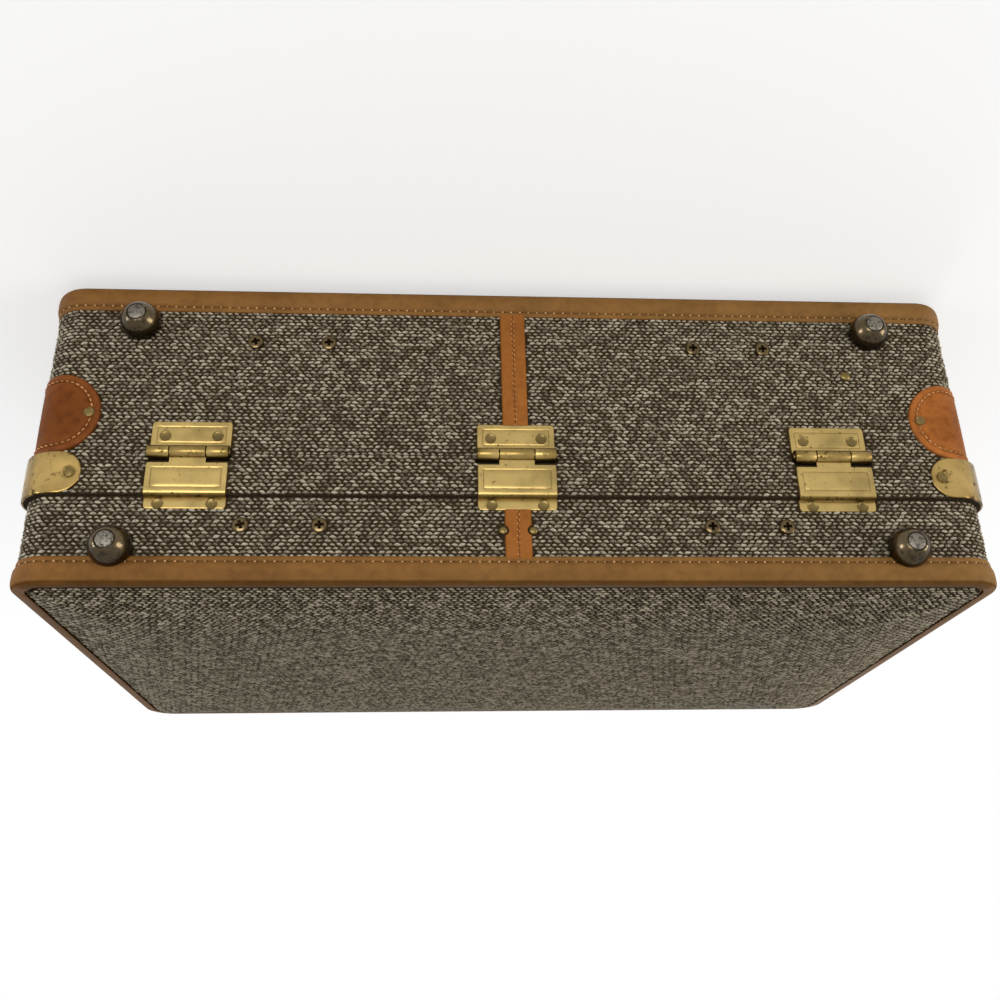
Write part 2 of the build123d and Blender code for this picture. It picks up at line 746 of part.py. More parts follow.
def save(name, shape):
    """Writes one sub-part; a list becomes a group of separate solids."""
    if isinstance(shape, list):
        shape = Compound([solid for piece in shape for solid in piece.solids()])
    export_step(shape, f"parts/{name}.step")


def save_shells():
    base = shell_half(PART_Z, RIM_FOOT, BASE_FOOT_INSET)
    lid = shell_half(LID_DEPTH, RIM_REACH + RIM_HEADROOM, LID_FOOT_INSET)
    for name, shape in base.items():
        save(f"base_{name}", shape)
    for name, shape in lid.items():
        save(f"lid_{name}", to_lid(shape))
    save("base_rim", inner_rim())
    save("lid_raised_band", raised_band())


def save_wall_trim():
    """Straps, corners, feet and fasteners on the outside."""
    strap_high = TOP_Z - EDGE_Z - FLANGE_HEIGHT
    save("base_centre_strap", centre_strap(EDGE_Z + FLANGE_HEIGHT, PART_Z - BASE_LEAF_DROP))
    strap = centre_strap(PART_Z + LID_LEAF_DROP, strap_high)
    rivet_z = TOP_Z - EDGE_Z - STRAP_RIVET_INSET
    rivet_x = STRAP_WIDTH / 2 + STRAP_NOTCH - STRAP_RIVET
    rivet_spots = [(-rivet_x, rivet_z), (rivet_x, rivet_z)]
    for x, z in rivet_spots:
        notch = RegularPolygon(STRAP_NOTCH, HEAD_SIDES)
        strap -= on_wall(REAR, x, z, notch, STRAP_THICK + 1)
    save("lid_centre_strap", strap)
    save("lid_strap_rivets", place_heads(REAR, rivet_spots, fastener(STRAP_RIVET)))

    leather_z = PART_Z - LEATHER_TALL / 2
    leather = ring(-LEATHER, 0, PART_Z - LEATHER_TALL, PART_Z)
    save("base_corner_leathers", four_corners(leather, LEATHER_TALL, LEATHER_REACH, leather_z))
    heads = corner_heads(LEATHER_RIVET_BACK, LEATHER_REACH, LEATHER, leather_z)
    save("base_corner_rivets", heads)
    guard = ring(-BAND_PROUD - GUARD, -BAND_PROUD, BAND_LOW, BAND_TOP)
    guard_z = (BAND_LOW + BAND_TOP) / 2
    save("lid_corner_guards", four_corners(guard, BAND_HEIGHT, GUARD_REACH, guard_z))
    heads = corner_heads(GUARD_RIVET_BACK, GUARD_REACH, BAND_PROUD + GUARD, guard_z)
    save("lid_corner_rivets", heads)

    feet = {"base": EDGE_Z + BASE_FOOT_INSET, "lid": TOP_Z - EDGE_Z - LID_FOOT_INSET}
    for half, z in feet.items():
        spots = [(-FOOT_X, z), (FOOT_X, z)]
        save(f"{half}_feet", place_heads(REAR, spots, foot()))
        stud = extrude(RegularPolygon(STUD, 2 * HEAD_SIDES), STUD_HEAD)
        save(f"{half}_foot_studs", place_heads(REAR, spots, stud, FOOT_TALL))

    xs = [side * x for x in SCREW_XS for side in (-1, 1)]
    base_spots = [(x, EDGE_Z + BASE_SCREW_INSET) for x in xs]
    lid_spots = [(x, TOP_Z - EDGE_Z - LID_SCREW_INSET) for x in xs]
    save("base_frame_screws", place_heads(REAR, base_spots, fastener(SCREW)))
    save("lid_frame_screws", place_heads(REAR, lid_spots, fastener(SCREW)))
    plug_spots = [(PLUG_X, EDGE_Z + PLUG_INSET)]
    save("base_wall_plug", place_heads(REAR, plug_spots, fastener(PLUG)))


def save_hinges():
    for name, x in hinge_xs().items():
        save(f"hinge_{name}_base_leaf", base_leaf(x))
        save(f"hinge_{name}_lid_leaf", lid_leaf(x))
    save("hinge_base_rivets", hinge_rivets(PART_Z - BASE_RIVET_DROP))
    save("hinge_lid_rivets", hinge_rivets(PART_Z + LID_RIVET_DROP))


def save_latches():
    for name, shape in (("case", latch_case()), ("slider", latch_slider()), ("hasp", hasp())):
        save(f"latch_right_{name}", shape)
        save(f"latch_left_{name}", left_of(shape))
    save("latch_lid_plates", [lid_plate(), left_of(lid_plate())])
    reach = (FLANGE_LENGTH + CASE_LENGTH) / 4
    xs = [side * LATCH_X + end * reach for side in (-1, 1) for end in (-1, 1)]
    save("latch_case_rivets", latch_heads(xs, case_z(), LATCH_PLATE))
    z = hasp_axis()[1] + LID_PLATE_TALL * 0.65
    reach = LID_PLATE_LENGTH / 2 - 2 * LATCH_RIVET
    xs = [side * LATCH_X + end * reach for side in (-1, 1) for end in (-1, 1)]
    save("latch_plate_rivets", latch_heads(xs, z, BAND_PROUD + LATCH_PLATE))


def save_handle():
    core = handle_core()
    save("handle_core", core)
    save("handle_grip", handle_grip(core))
    save("handle_brackets", [bracket(-HANDLE_HALF), bracket(HANDLE_HALF)])
    save("handle_rivets", bracket_rivets())


def save_inside():
    save("packing_straps", packing_straps())
    save("packing_buckles", buckles())
    save("lid_pocket", lid_pocket())


os.makedirs("parts", exist_ok=True)
save_shells()
save_wall_trim()
save_hinges()
save_latches()
save_handle()
save_inside()
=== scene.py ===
import math
from functools import partial

import bmesh
import bpy
from bpy.props import FloatProperty, FloatVectorProperty, IntProperty, PointerProperty
from mathutils import Matrix, Vector


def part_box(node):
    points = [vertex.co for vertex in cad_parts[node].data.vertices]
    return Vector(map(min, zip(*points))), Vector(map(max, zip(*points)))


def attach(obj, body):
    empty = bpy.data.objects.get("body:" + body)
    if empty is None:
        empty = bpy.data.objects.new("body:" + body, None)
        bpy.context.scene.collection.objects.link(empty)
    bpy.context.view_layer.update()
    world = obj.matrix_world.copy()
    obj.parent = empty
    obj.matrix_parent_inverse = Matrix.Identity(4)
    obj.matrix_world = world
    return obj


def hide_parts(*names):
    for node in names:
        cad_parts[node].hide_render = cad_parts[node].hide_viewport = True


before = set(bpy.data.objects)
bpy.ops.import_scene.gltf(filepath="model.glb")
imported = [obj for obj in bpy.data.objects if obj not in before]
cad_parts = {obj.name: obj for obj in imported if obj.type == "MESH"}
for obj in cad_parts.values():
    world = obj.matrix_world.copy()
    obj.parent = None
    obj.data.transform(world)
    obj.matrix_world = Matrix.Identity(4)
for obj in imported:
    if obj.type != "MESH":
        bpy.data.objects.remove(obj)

bl_info = {
    "name": "Tweed Suitcase",
    "version": (1, 0, 0),
    "blender": (4, 5, 0),
    "location": "3D View > Sidebar > Suitcase",
    "description": "Dresses the frame of a tweed suitcase with leather edges and brass fittings",
    "category": "Object",
}

# Lengths below are millimetres; a mesh is turned to metres when it is made. X runs along the case,
# +Y out of the hinge wall, -Y out of the handle wall, and heights are counted from the rest flat.
# "Lift" is a distance out of a wall's tweed surface.
MM = 0.001
HALVES = ("base", "lid")
SIDES = (-1, 1)
REAR = 1
FRONT = -1


def node_corners(name):
    """A CAD node's lowest and highest corner in millimetres."""
    low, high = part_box(name)
    return [v / MM for v in low], [v / MM for v in high]


# The shell.
WALL_X, WALL_Y, PART_Z = node_corners("base_wall_covering")[1]
EDGE_Z = node_corners("base_binding")[0][2]
TOP_Z = node_corners("lid_face_covering")[1][2]
LID_EDGE_Z = node_corners("lid_binding")[1][2]
BAND_LOW = node_corners("lid_raised_band")[0][2]
BAND_TOP = node_corners("lid_raised_band")[1][2]
BAND_PROUD = node_corners("lid_raised_band")[1][0] - WALL_X
BAND_TALL = BAND_TOP - BAND_LOW
BAND_MID = (BAND_LOW + BAND_TOP) / 2
CORNER_RADIUS = 18.0
FACE_INSET = 6.5
FACE_X = WALL_X - FACE_INSET
FACE_Y = WALL_Y - FACE_INSET
FACE_CORNER = 8.0
FACE_RISE = 8.5
CROWN_RUN = 60.0
CROWN_ARC = (CROWN_RUN**2 + FACE_RISE**2) / (2 * FACE_RISE)
PRESSED = 1.1
TWEED = 1.5
BOARD = 4.0
LINING = 1.2

# Leather.
FLANGE_HEIGHT = 15.5
STRAP_WIDTH = 14.6
STRAP_THICK = 1.5
STRAP_NOTCH = 3.0
STRAP_NOTCH_X = 8.1
STRAP_NOTCH_Z = 158.0
LEATHER_TALL = 49.0
LEATHER_MID = PART_Z - LEATHER_TALL / 2
LEATHER_REACH = 36.0
LEATHER_THICK = 1.5
LEATHER_STITCH_IN = 4.6
LEATHER_RIVET_IN = 6.0
PACKING_X = 115.0
PACKING_HALF = 138.0
PACKING_WIDTH = 25.0
PACKING_THICK = 1.5
PACKING_DEPTH = TWEED + BOARD + LINING

# Metal.
GUARD_REACH = 31.5
GUARD_THICK = 1.0
GUARD_RIVET_IN = 6.5
HINGE_XS = (-177.5, 0.0, 177.5)
LEAF_WIDTH = 43.5
LEAF = 1.2
LEAF_CORNER = 2.2
BASE_LEAF_LOW = 94.5
LID_LEAF_HIGH = 146.5
PANEL_LOW = 120.7
PANEL_LIFT = 4.7
FRAME_IN = 3.3
BASE_FRAME_HIGH = 12.8
LID_FRAME_HIGH = 14.5
KNUCKLE = 3.75
KNUCKLE_SHARE = 19.3
AXIS_LIFT = 4.0
AXIS_Z = 114.5
HINGE_RIVET_SPREAD = 14.1
BASE_RIVET_Z = 103.3
LID_RIVET_Z = 143.7
FOOT_X = 212.5
BASE_FOOT_Z = 31.5
LID_FOOT_Z = 168.5
SCREW_XS = (106.0, 147.5)
BASE_SCREW_Z = 42.5
LID_SCREW_Z = 155.5
SCREW_RADIUS = 4.5
PLUG_X = 195.0
PLUG_Z = 59.8
HEAD_LIFT = 0.6
LATCH_X = 160.0
LATCH_Z = 98.0
LATCH_RIVET_X = 33.5
PLATE_RIVET_X = 15.0
PLATE_RIVET_Z = 130.3
HANDLE_X = 68.0
HANDLE_Z = 96.0
HANDLE_LIFT = 13.0
HANDLE_DROP = 38.0
HANDLE_BEND = 13.0
BRACKET_THICK = 1.5
BRACKET_RIVET_X = 12.5
GRIP_HALF = 52.0
GRIP_THICK = 18.4
GRIP_TALL = 22.8

# What covers the tweed, as (x, z, radius) on the hinge wall and (x, half width, low, high) on the
# handle wall, both for |x|.
ROUND_FITTINGS = [(FOOT_X, BASE_FOOT_Z, 10.9), (FOOT_X, LID_FOOT_Z, 10.9)]
ROUND_FITTINGS += [(STRAP_NOTCH_X, STRAP_NOTCH_Z, 3.0)]
ROUND_FITTINGS += [(x, z, 4.2) for x in SCREW_XS for z in (BASE_SCREW_Z, LID_SCREW_Z)]
PLUG_COVER = 2.6
FRONT_FITTINGS = [
    (LATCH_X, 37.5, LATCH_Z - 12, LATCH_Z + 12),
    (LATCH_X, 19, PART_Z, BAND_TOP - 3),
    (HANDLE_X, 17, HANDLE_Z - 11, HANDLE_Z + 11),
]

WARP = "Tweed warp, dark"
BRIDLE = "Bridle leather, burnished"
BRASS = "Brass, pressed and lacquered"
AGED = "Brass, aged"


def linear_colour(code):
    """An sRGB hex colour as the linear values that Blender's colour properties hold."""
    parts = [int(code[i:i + 2], 16) / 255 for i in (1, 3, 5)]
    return tuple(c / 12.92 if c <= 0.04045 else ((c + 0.055) / 1.055) ** 2.4 for c in parts)


def length_setting(name, description, size):
    """A length property, from millimetres."""
    return FloatProperty(name=name, description=description, default=size * MM, unit="LENGTH", precision=5)


def colour_setting(name, description, code):
    """A colour property, from sRGB hex."""
    return FloatVectorProperty(
        name=name, description=description, default=linear_colour(code), size=3, subtype="COLOR", min=0, max=1
    )


class SuitcaseTweed(bpy.types.PropertyGroup):
    """Sizes and colours of the woven covering."""

    pitch: length_setting("Slub pitch", "Distance between slubs along a row", 3.8)
    row: length_setting("Row pitch", "Distance between rows of slubs", 2.15)
    slub_length: length_setting("Slub length", "Length of one wool slub", 4.1)
    slub_width: length_setting("Slub width", "Width of one wool slub", 2.4)
    slub_height: length_setting("Slub height", "How far a slub stands out of the cloth", 0.8)
    spread: FloatProperty(
        name="Size spread", description="How much slubs differ in size", default=0.3, subtype="FACTOR"
    )
    turn: FloatProperty(
        name="Turn", description="How far slubs lie out of line", default=math.radians(22), subtype="ANGLE"
    )
    seed: IntProperty(name="Seed", description="Seed of the weave's irregularity", default=4)
    pale: colour_setting("Pale wool", "Colour of the palest slubs", "#C5BBA6")
    grey: colour_setting("Grey wool", "Colour of the darkest slubs", "#786E5C")
    ground: colour_setting("Dark warp", "Colour of the warp between the slubs", "#3A2F1F")


class SuitcaseLeather(bpy.types.PropertyGroup):
    """Colours and stitching of the leather parts."""

    binding: colour_setting("Edge binding", "Colour of the edge binding", "#886335")
    strap: colour_setting("Straps", "Colour of the straps and the grip", "#965C26")
    corner: colour_setting("Corners", "Colour of the corners", "#A4622C")
    thread: colour_setting("Thread", "Colour of the waxed thread", "#CDA070")
    stained: colour_setting("Stained thread", "Colour of the thread on straps and corners", "#C8915C")
    edge_pitch: length_setting("Edge stitch pitch", "Distance from stitch to stitch on the binding", 5.1)
    fine_pitch: length_setting("Fine stitch pitch", "Distance from stitch to stitch elsewhere", 3.2)
    stitch_length: length_setting("Stitch length", "Length of one fine stitch", 2.4)
    thread_width: length_setting("Thread width", "Thickness of the thread", 0.9)


class SuitcaseMetal(bpy.types.PropertyGroup):
    """Colours of the metal fittings."""

    brass: colour_setting("Brass", "Colour of the lacquered brass", "#B39A60")
    tarnish: colour_setting("Tarnish", "Colour where the lacquer has gone", "#4E3C1C")
    bronze: colour_setting("Bronze", "Colour of the antique bronze glides", "#5F5139")
    stud: colour_setting("Stud", "Colour of the crimped studs", "#979084")


class SuitcaseInside(bpy.types.PropertyGroup):
    """Colours and sizes inside the case."""

    lining: colour_setting("Lining", "Colour of the satin lining", "#AB9166")
    pocket: colour_setting("Pocket", "Colour of the gathered pocket", "#8C7450")
    gathers: IntProperty(name="Gathers", description="Number of gathers along the pocket's hem", default=42)


# Nodes and materials.

MULTIPLY = {"data_type": "RGBA", "blend_type": "MULTIPLY"}


def add_node(tree, kind, given=None, stops=(), **settings):
    """Adds one node; given holds its inputs' values, or the nodes or sockets that they come from."""
    made = tree.nodes.new(kind)
    for key, value in settings.items():
        setattr(made, key, value)
    for key, value in (given or {}).items():
        if isinstance(value, bpy.types.Node):
            value = next(socket for socket in value.outputs if socket.enabled)
        if isinstance(value, bpy.types.NodeSocket):
            tree.links.new(value, made.inputs[key])
        else:
            made.inputs[key].default_value = value
    if stops:
        elements = made.color_ramp.elements
        while len(elements) < len(stops):
            elements.new(0.5)
        for element, (place, colour) in zip(elements, stops):
            element.position, element.color = place, (*colour, 1.0)
    return made


def start_material(name):
    """A new material, a function that adds nodes to it, and its Object coordinates."""
    material = bpy.data.materials.new(name)
    material.use_nodes = True
    material.node_tree.nodes.clear()
    add = partial(add_node, material.node_tree)
    return material, add, add("ShaderNodeTexCoord").outputs["Object"]


def end_material(material, add, given):
    """Closes a material with its shader; constants are set on the shader's own sockets."""
    add("ShaderNodeOutputMaterial", {"Surface": add("ShaderNodeBsdfPrincipled", given)})
    return material


def scale_of(size):
    """A texture scale from the size in millimetres of what it draws."""
    return 1 / (size * MM)


def shade(colour, *factors):
    """A colour made lighter or darker, by one factor or by one for each channel."""
    return tuple(min(1.0, c * f) for c, f in zip(colour, factors * (3 // len(factors))))


def tint(group, setting, *factors):
    """A colour of the settings, as it is or made lighter or darker."""
    return shade(getattr(getattr(bpy.context.scene, f"suitcase_{group}"), setting), *(factors or (1.0,)))


def wool_slubs(name):
    """Wool, hairy and different from slub to slub, with painted shade that darkens each slub from its crest down.
    """
    material, add, place = start_material(name)
    tone = add("ShaderNodeAttribute", attribute_name="tone").outputs["Fac"]
    # Fibres are about 0.05 mm; they are drawn 0.9 mm wide so that they show.
    hair = add("ShaderNodeTexNoise", {"Vector": place, "Scale": scale_of(0.9), "Detail": 4.0})
    fuzz = add("ShaderNodeMath", {0: hair, 1: 1.7, 2: -0.8}, operation="MULTIPLY_ADD")
    even = add("ShaderNodeMath", {0: tone, 1: 0.65, 2: 0.16}, operation="MULTIPLY_ADD")
    both = add("ShaderNodeMath", {0: even, 1: fuzz}, operation="ADD", use_clamp=True)
    stops = [(0.0, tint("tweed", "grey", 0.5)), (0.3, tint("tweed", "grey"))]
    stops += [(0.75, tint("tweed", "pale", 0.85)), (1.0, tint("tweed", "pale"))]
    wool = add("ShaderNodeValToRGB", {"Fac": both}, stops)
    # Painted shade: each slub is darkened from its crest down to where it dives under the warp.
    crest = add("ShaderNodeAttribute", attribute_name="crest").outputs["Fac"]
    stops = [(0.05, (0.16, 0.14, 0.1)), (0.35, (0.62, 0.59, 0.53)), (0.68, (1, 1, 1))]
    depth = add("ShaderNodeValToRGB", {"Fac": crest}, stops)
    colour = add("ShaderNodeMix", {0: 1.0, 6: wool, 7: depth}, **MULTIPLY)
    bump = add("ShaderNodeBump", {"Height": hair, "Strength": 0.6, "Distance": 0.0004})
    matt = {"Roughness": 0.95, "Specular IOR Level": 0.1, "Sheen Weight": 0.04}
    return end_material(material, add, {**matt, "Base Color": colour, "Normal": bump})


def dark_warp(name):
    """Dark twisted warp with paler fibres caught in it."""
    material, add, place = start_material(name)
    fleck = add("ShaderNodeTexNoise", {"Vector": place, "Scale": scale_of(1.3), "Detail": 4.0})
    stops = [(0.35, tint("tweed", "ground", 0.5)), (0.55, tint("tweed", "ground"))]
    warp = add("ShaderNodeValToRGB", {"Fac": fleck}, stops + [(0.8, tint("tweed", "grey", 0.45))])
    bump = add("ShaderNodeBump", {"Height": fleck, "Strength": 0.8, "Distance": 0.0006})
    matt = {"Roughness": 0.95, "Specular IOR Level": 0.1}
    return end_material(material, add, {**matt, "Base Color": warp, "Normal": bump})


def leather_finish(name, colour, grain, mottle, painted_light_from_right=0.0):
    """Vegetable-tanned cowhide, waxed: fine pebbled grain, cloudy colour, dirt and painted shade in its creases.
    """
    material, add, place = start_material(name)
    cloud = add("ShaderNodeTexNoise", {"Vector": place, "Scale": scale_of(38), "Detail": 4.0})
    streak = add("ShaderNodeTexNoise", {"Vector": place, "Scale": scale_of(5), "Detail": 5.0})
    # Hide grain is about 0.3 mm; it is drawn coarser so that it shows.
    pores = add("ShaderNodeTexVoronoi", {"Vector": place, "Scale": scale_of(grain)})
    stops = [(0.3, shade(colour, 1 - 0.5 * mottle)), (0.5, colour), (0.72, shade(colour, 1 + 0.5 * mottle))]
    soft = add("ShaderNodeValToRGB", {"Fac": cloud}, stops)
    stops = [(0.3, (0.5, 0.43, 0.36)), (0.55, (1, 1, 1)), (0.8, (1.1, 1.1, 1.1))]
    worn = add("ShaderNodeValToRGB", {"Fac": streak}, stops)
    hide = add("ShaderNodeMix", {0: mottle, 6: soft, 7: worn}, **MULTIPLY)
    # Dirt, and painted shade in grooves, under beads and at edges, darken the hide through a point attribute.
    soil = add("ShaderNodeAttribute", attribute_name="soil").outputs["Fac"]
    dirt_and_shade = add("ShaderNodeValToRGB", {"Fac": soil}, [(0.0, (1, 1, 1)), (1.0, (0.08, 0.045, 0.02))])
    hide = add("ShaderNodeMix", {0: 1.0, 6: hide, 7: dirt_and_shade}, **MULTIPLY)
    if painted_light_from_right:
        # Painted light: paler towards +X, as if that side were lit more.
        ends = {"From Min": -WALL_X * MM, "From Max": WALL_X * MM}
        along = add("ShaderNodeMapRange", {"Value": add("ShaderNodeSeparateXYZ", {0: place}), **ends})
        stops = [(0.0, shade((1.0, 0.88, 0.74), 1 / (1 + painted_light_from_right))), (1.0, (1.0, 1.0, 1.0))]
        pale = add("ShaderNodeValToRGB", {"Fac": along}, stops)
        hide = add("ShaderNodeMix", {0: 1.0, 6: hide, 7: pale}, **MULTIPLY)
    rough = add("ShaderNodeMapRange", {"Value": streak, "To Min": 0.42, "To Max": 0.68})
    # Clean leather has a low wax shine; where dirt and painted shade lie there is none.
    shine = add("ShaderNodeMapRange", {"Value": soil, "From Max": 0.5, "To Min": 0.12, "To Max": 0.0})
    fine = add("ShaderNodeBump", {"Height": pores, "Strength": 0.35, "Distance": 0.0003})
    broad = add("ShaderNodeBump", {"Height": streak, "Strength": 0.7, "Distance": 0.0009, "Normal": fine})
    given = {"Base Color": hide, "Roughness": rough, "Specular IOR Level": shine, "Normal": broad}
    return end_material(material, add, given)


def thread_finish(name, colour, hole_shade):
    """Waxed linen thread, two-ply twist, with a soft gloss, darkened by painted shade where it dives into its
    hole.
    """
    material, add, _ = start_material(name)
    tone = add("ShaderNodeAttribute", attribute_name="tone").outputs["Fac"]
    crest = add("ShaderNodeAttribute", attribute_name="crest").outputs["Fac"]
    stops = [(0.0, shade(colour, 0.6)), (0.6, colour), (1.0, shade(colour, 1.2))]
    linen = add("ShaderNodeValToRGB", {"Fac": tone}, stops)
    depth = add("ShaderNodeValToRGB", {"Fac": crest}, [(0.1, hole_shade), (0.7, (1, 1, 1))])
    thread = add("ShaderNodeMix", {0: 1.0, 6: linen, 7: depth}, **MULTIPLY)
    return end_material(material, add, {"Roughness": 0.6, "Specular IOR Level": 0.15, "Base Color": thread})


def metal_finish(name, bright, dark, speck, share, smooth, rough, lacquer=0.0):
    """Metal whose bright colour breaks into dark specks and clouds where its lacquer has worn, darkened further
    by tarnish and painted shade.
    """
    material, add, place = start_material(name)
    cloud = add("ShaderNodeTexNoise", {"Vector": place, "Scale": scale_of(14), "Detail": 5.0})
    spots = {"Vector": place, "Scale": scale_of(speck), "Detail": 4.0, "Roughness": 0.65}
    spots = add("ShaderNodeTexNoise", spots)
    # Tarnish and painted shade, held on the points, darken grooves, rings round rivets and knuckles; specks run
    # together there.
    soil = add("ShaderNodeAttribute", attribute_name="soil").outputs["Fac"]
    grime_and_shade = add("ShaderNodeMath", {0: soil, 1: 0.12, 2: spots}, operation="MULTIPLY_ADD")
    stops = [(1 - share, (0, 0, 0)), (1 - share + 0.12, (1, 1, 1))]
    mask = add("ShaderNodeValToRGB", {"Fac": grime_and_shade}, stops)
    stops = [(0.25, shade(bright, 0.7)), (0.5, bright), (0.75, shade(bright, 1.08))]
    ground = add("ShaderNodeValToRGB", {"Fac": cloud}, stops)
    plate = add("ShaderNodeMix", {0: mask, 6: ground, 7: (*dark, 1.0)}, data_type="RGBA")
    # Painted shade and tarnish: the plate goes dark as the attribute rises.
    stops = [(0.0, (1, 1, 1)), (0.5, (0.45, 0.42, 0.34)), (1.0, (0.1, 0.08, 0.05))]
    tarnish_and_shade = add("ShaderNodeValToRGB", {"Fac": soil}, stops)
    plate = add("ShaderNodeMix", {0: 1.0, 6: plate, 7: tarnish_and_shade}, **MULTIPLY)
    blur = add("ShaderNodeMapRange", {"Value": cloud, "To Min": smooth, "To Max": rough})
    matt = add("ShaderNodeMath", {0: mask, 1: 0.3, 2: blur}, operation="MULTIPLY_ADD")
    bump = add("ShaderNodeBump", {"Height": spots, "Strength": 0.12, "Distance": 0.0002})
    coat = {"Coat Weight": lacquer, "Coat Roughness": 0.12}
    given = {"Metallic": 1.0, **coat, "Base Color": plate, "Roughness": matt, "Normal": bump}
    return end_material(material, add, given)


def birch_plywood(name):
    """Close grain that runs along the case, from honey to cream."""
    material, add, place = start_material(name)
    long = add("ShaderNodeMapping", {"Vector": place, "Scale": (0.08, 1.0, 1.0)})
    grain = add("ShaderNodeTexNoise", {"Vector": long, "Scale": scale_of(1.8), "Detail": 6.0})
    stops = [(at, linear_colour(code)) for at, code in ((0.3, "#A98554"), (0.55, "#CBA974"), (0.8, "#DDBF8C"))]
    wood = add("ShaderNodeValToRGB", {"Fac": grain}, stops)
    bump = add("ShaderNodeBump", {"Height": grain, "Strength": 0.2, "Distance": 0.0002})
    return end_material(material, add, {"Roughness": 0.62, "Base Color": wood, "Normal": bump})


def woven_satin(name, colour):
    """Rayon satin: fine horizontal floats that catch the light, with a few pulled threads."""
    material, add, place = start_material(name)
    # Satin floats are about 0.2 mm; wavy bands 5 mm apart stand for them so that they show.
    floats = {"Vector": place, "Scale": scale_of(16), "Distortion": 1.5, "Detail": 3.0}
    floats = add("ShaderNodeTexWave", floats).outputs["Fac"]
    cloud = add("ShaderNodeTexNoise", {"Vector": place, "Scale": scale_of(25), "Detail": 4.0})
    dye = add("ShaderNodeValToRGB", {"Fac": cloud}, [(0.3, shade(colour, 0.85)), (0.7, shade(colour, 1.15))])
    bump = add("ShaderNodeBump", {"Height": floats, "Strength": 0.15, "Distance": 0.0002})
    sheen = {"Roughness": 0.5, "Specular IOR Level": 0.2, "Sheen Weight": 0.05}
    return end_material(material, add, {**sheen, "Base Color": dye, "Normal": bump})


FINISHES = {
    # Undyed wool, carded and loosely spun: matt, no two slubs the same grey-beige.
    "Wool slubs, carded": wool_slubs,
    # The tweed's hard-twisted dark brown warp, woven tight: matt.
    WARP: dark_warp,
    # Waxed brown cowhide, rolled over the edge while damp; painted a little paler towards +X as if lit from that
    # side.
    "Edge binding leather, waxed": lambda name: leather_finish(
        name, tint("leather", "binding"), 1.6, 0.35, 0.16
    ),
    # Tan bridle leather, split thin and burnished at its edges.
    BRIDLE: lambda name: leather_finish(name, tint("leather", "strap"), 1.8, 0.35),
    # Russet saddle leather, moulded wet round the corners, painted paler towards +X as if lit from that side.
    "Saddle leather, moulded": lambda name: leather_finish(name, tint("leather", "corner"), 1.2, 0.55, 0.85),
    # Tan thread of the bindings, with near-black painted shade in its holes.
    "Linen thread, waxed": lambda name: thread_finish(name, tint("leather", "thread"), (0.06, 0.05, 0.04)),
    # The same thread, stained by the dressing of the straps and corners, with a softer painted shade in its
    # holes.
    "Linen thread, stained": lambda name: thread_finish(name, tint("leather", "stained"), (0.45, 0.32, 0.2)),
    # Lacquered sheet brass, pressed and buffed: yellow, soft mirror, small dark specks.
    BRASS: lambda name: metal_finish(
        name, tint("metal", "brass"), tint("metal", "tarnish"), 2.4, 0.39, 0.2, 0.45
    ),
    # The guards' brass: lacquer rubbed off in patches that have gone brown.
    "Brass, worn": lambda name: metal_finish(
        name, tint("metal", "brass", 0.98, 0.93, 0.88), tint("metal", "tarnish"), 5.0, 0.42, 0.16, 0.38
    ),
    # Unlacquered brass rivets, gone dull with handling.
    AGED: lambda name: metal_finish(
        name, tint("metal", "brass", 0.38), tint("metal", "tarnish"), 1.6, 0.42, 0.25, 0.45
    ),
    # Bronze-plated steel, oxidised brown and relieved on the high spots.
    "Bronze plate, oxidised": lambda name: metal_finish(
        name, tint("metal", "bronze"), tint("metal", "bronze", 0.4), 2.4, 0.46, 0.14, 0.26, 0.3
    ),
    # The screws' bronze plate, brighter than the glides', with painted shade in their slots and round their rims.
    "Bronze plate, rubbed": lambda name: metal_finish(
        name, tint("metal", "bronze", 1.15), tint("metal", "bronze", 0.4), 2.4, 0.42, 0.14, 0.26
    ),
    # Tin-plated steel stud, dull and mottled where the plating has rubbed through.
    "Tin plate, mottled": lambda name: metal_finish(
        name, tint("metal", "stud", 0.6), tint("metal", "stud", 0.25), 1.6, 0.5, 0.4, 0.58
    ),
    # Nickel-plated cold-rolled steel of the handle's bow: grey, softly brushed.
    "Steel, nickel-plated": lambda name: metal_finish(
        name, linear_colour("#A8A59E"), linear_colour("#4A463E"), 2.0, 0.3, 0.25, 0.4
    ),
    # Drawn aluminium rim, satin from the die.
    "Aluminium, drawn": lambda name: metal_finish(
        name, linear_colour("#C4C2BC"), linear_colour("#77746C"), 2.5, 0.25, 0.3, 0.45
    ),
    # Birch plywood: pale and close-grained.
    "Birch plywood": birch_plywood,
    # The satin glued over the boards.
    "Lining satin, woven": lambda name: woven_satin(name, tint("inside", "lining")),
    # The pocket's satin, a shade darker.
    "Pocket satin, woven": lambda name: woven_satin(name, tint("inside", "pocket")),
}


def finish(name):
    """A material by its name, made when it is first asked for."""
    return bpy.data.materials.get(name) or FINISHES[name](name)


# Meshes.


def circle(count):
    """Evenly spaced angles round a circle."""
    return [math.tau * k / count for k in range(count)]


def bell(away, width):
    """A smooth bump, 1 where away is 0."""
    return math.exp(-((away / width) ** 2))


def rounded(inside, thick, edge):
    """The rise of a plate's rounded edge."""
    share = min(1.0, inside / edge)
    return thick * math.sqrt(max(0.0, 1 - (1 - share) ** 2))


def heights(low, high, step):
    """Evenly spaced values from low to high, about a step apart."""
    count = max(1, round((high - low) / step))
    return [low + (high - low) * k / count for k in range(count + 1)]


def mirrored(values):
    """Values that start at the middle, on both sides of it."""
    return [-value for value in reversed(values[1:])] + values


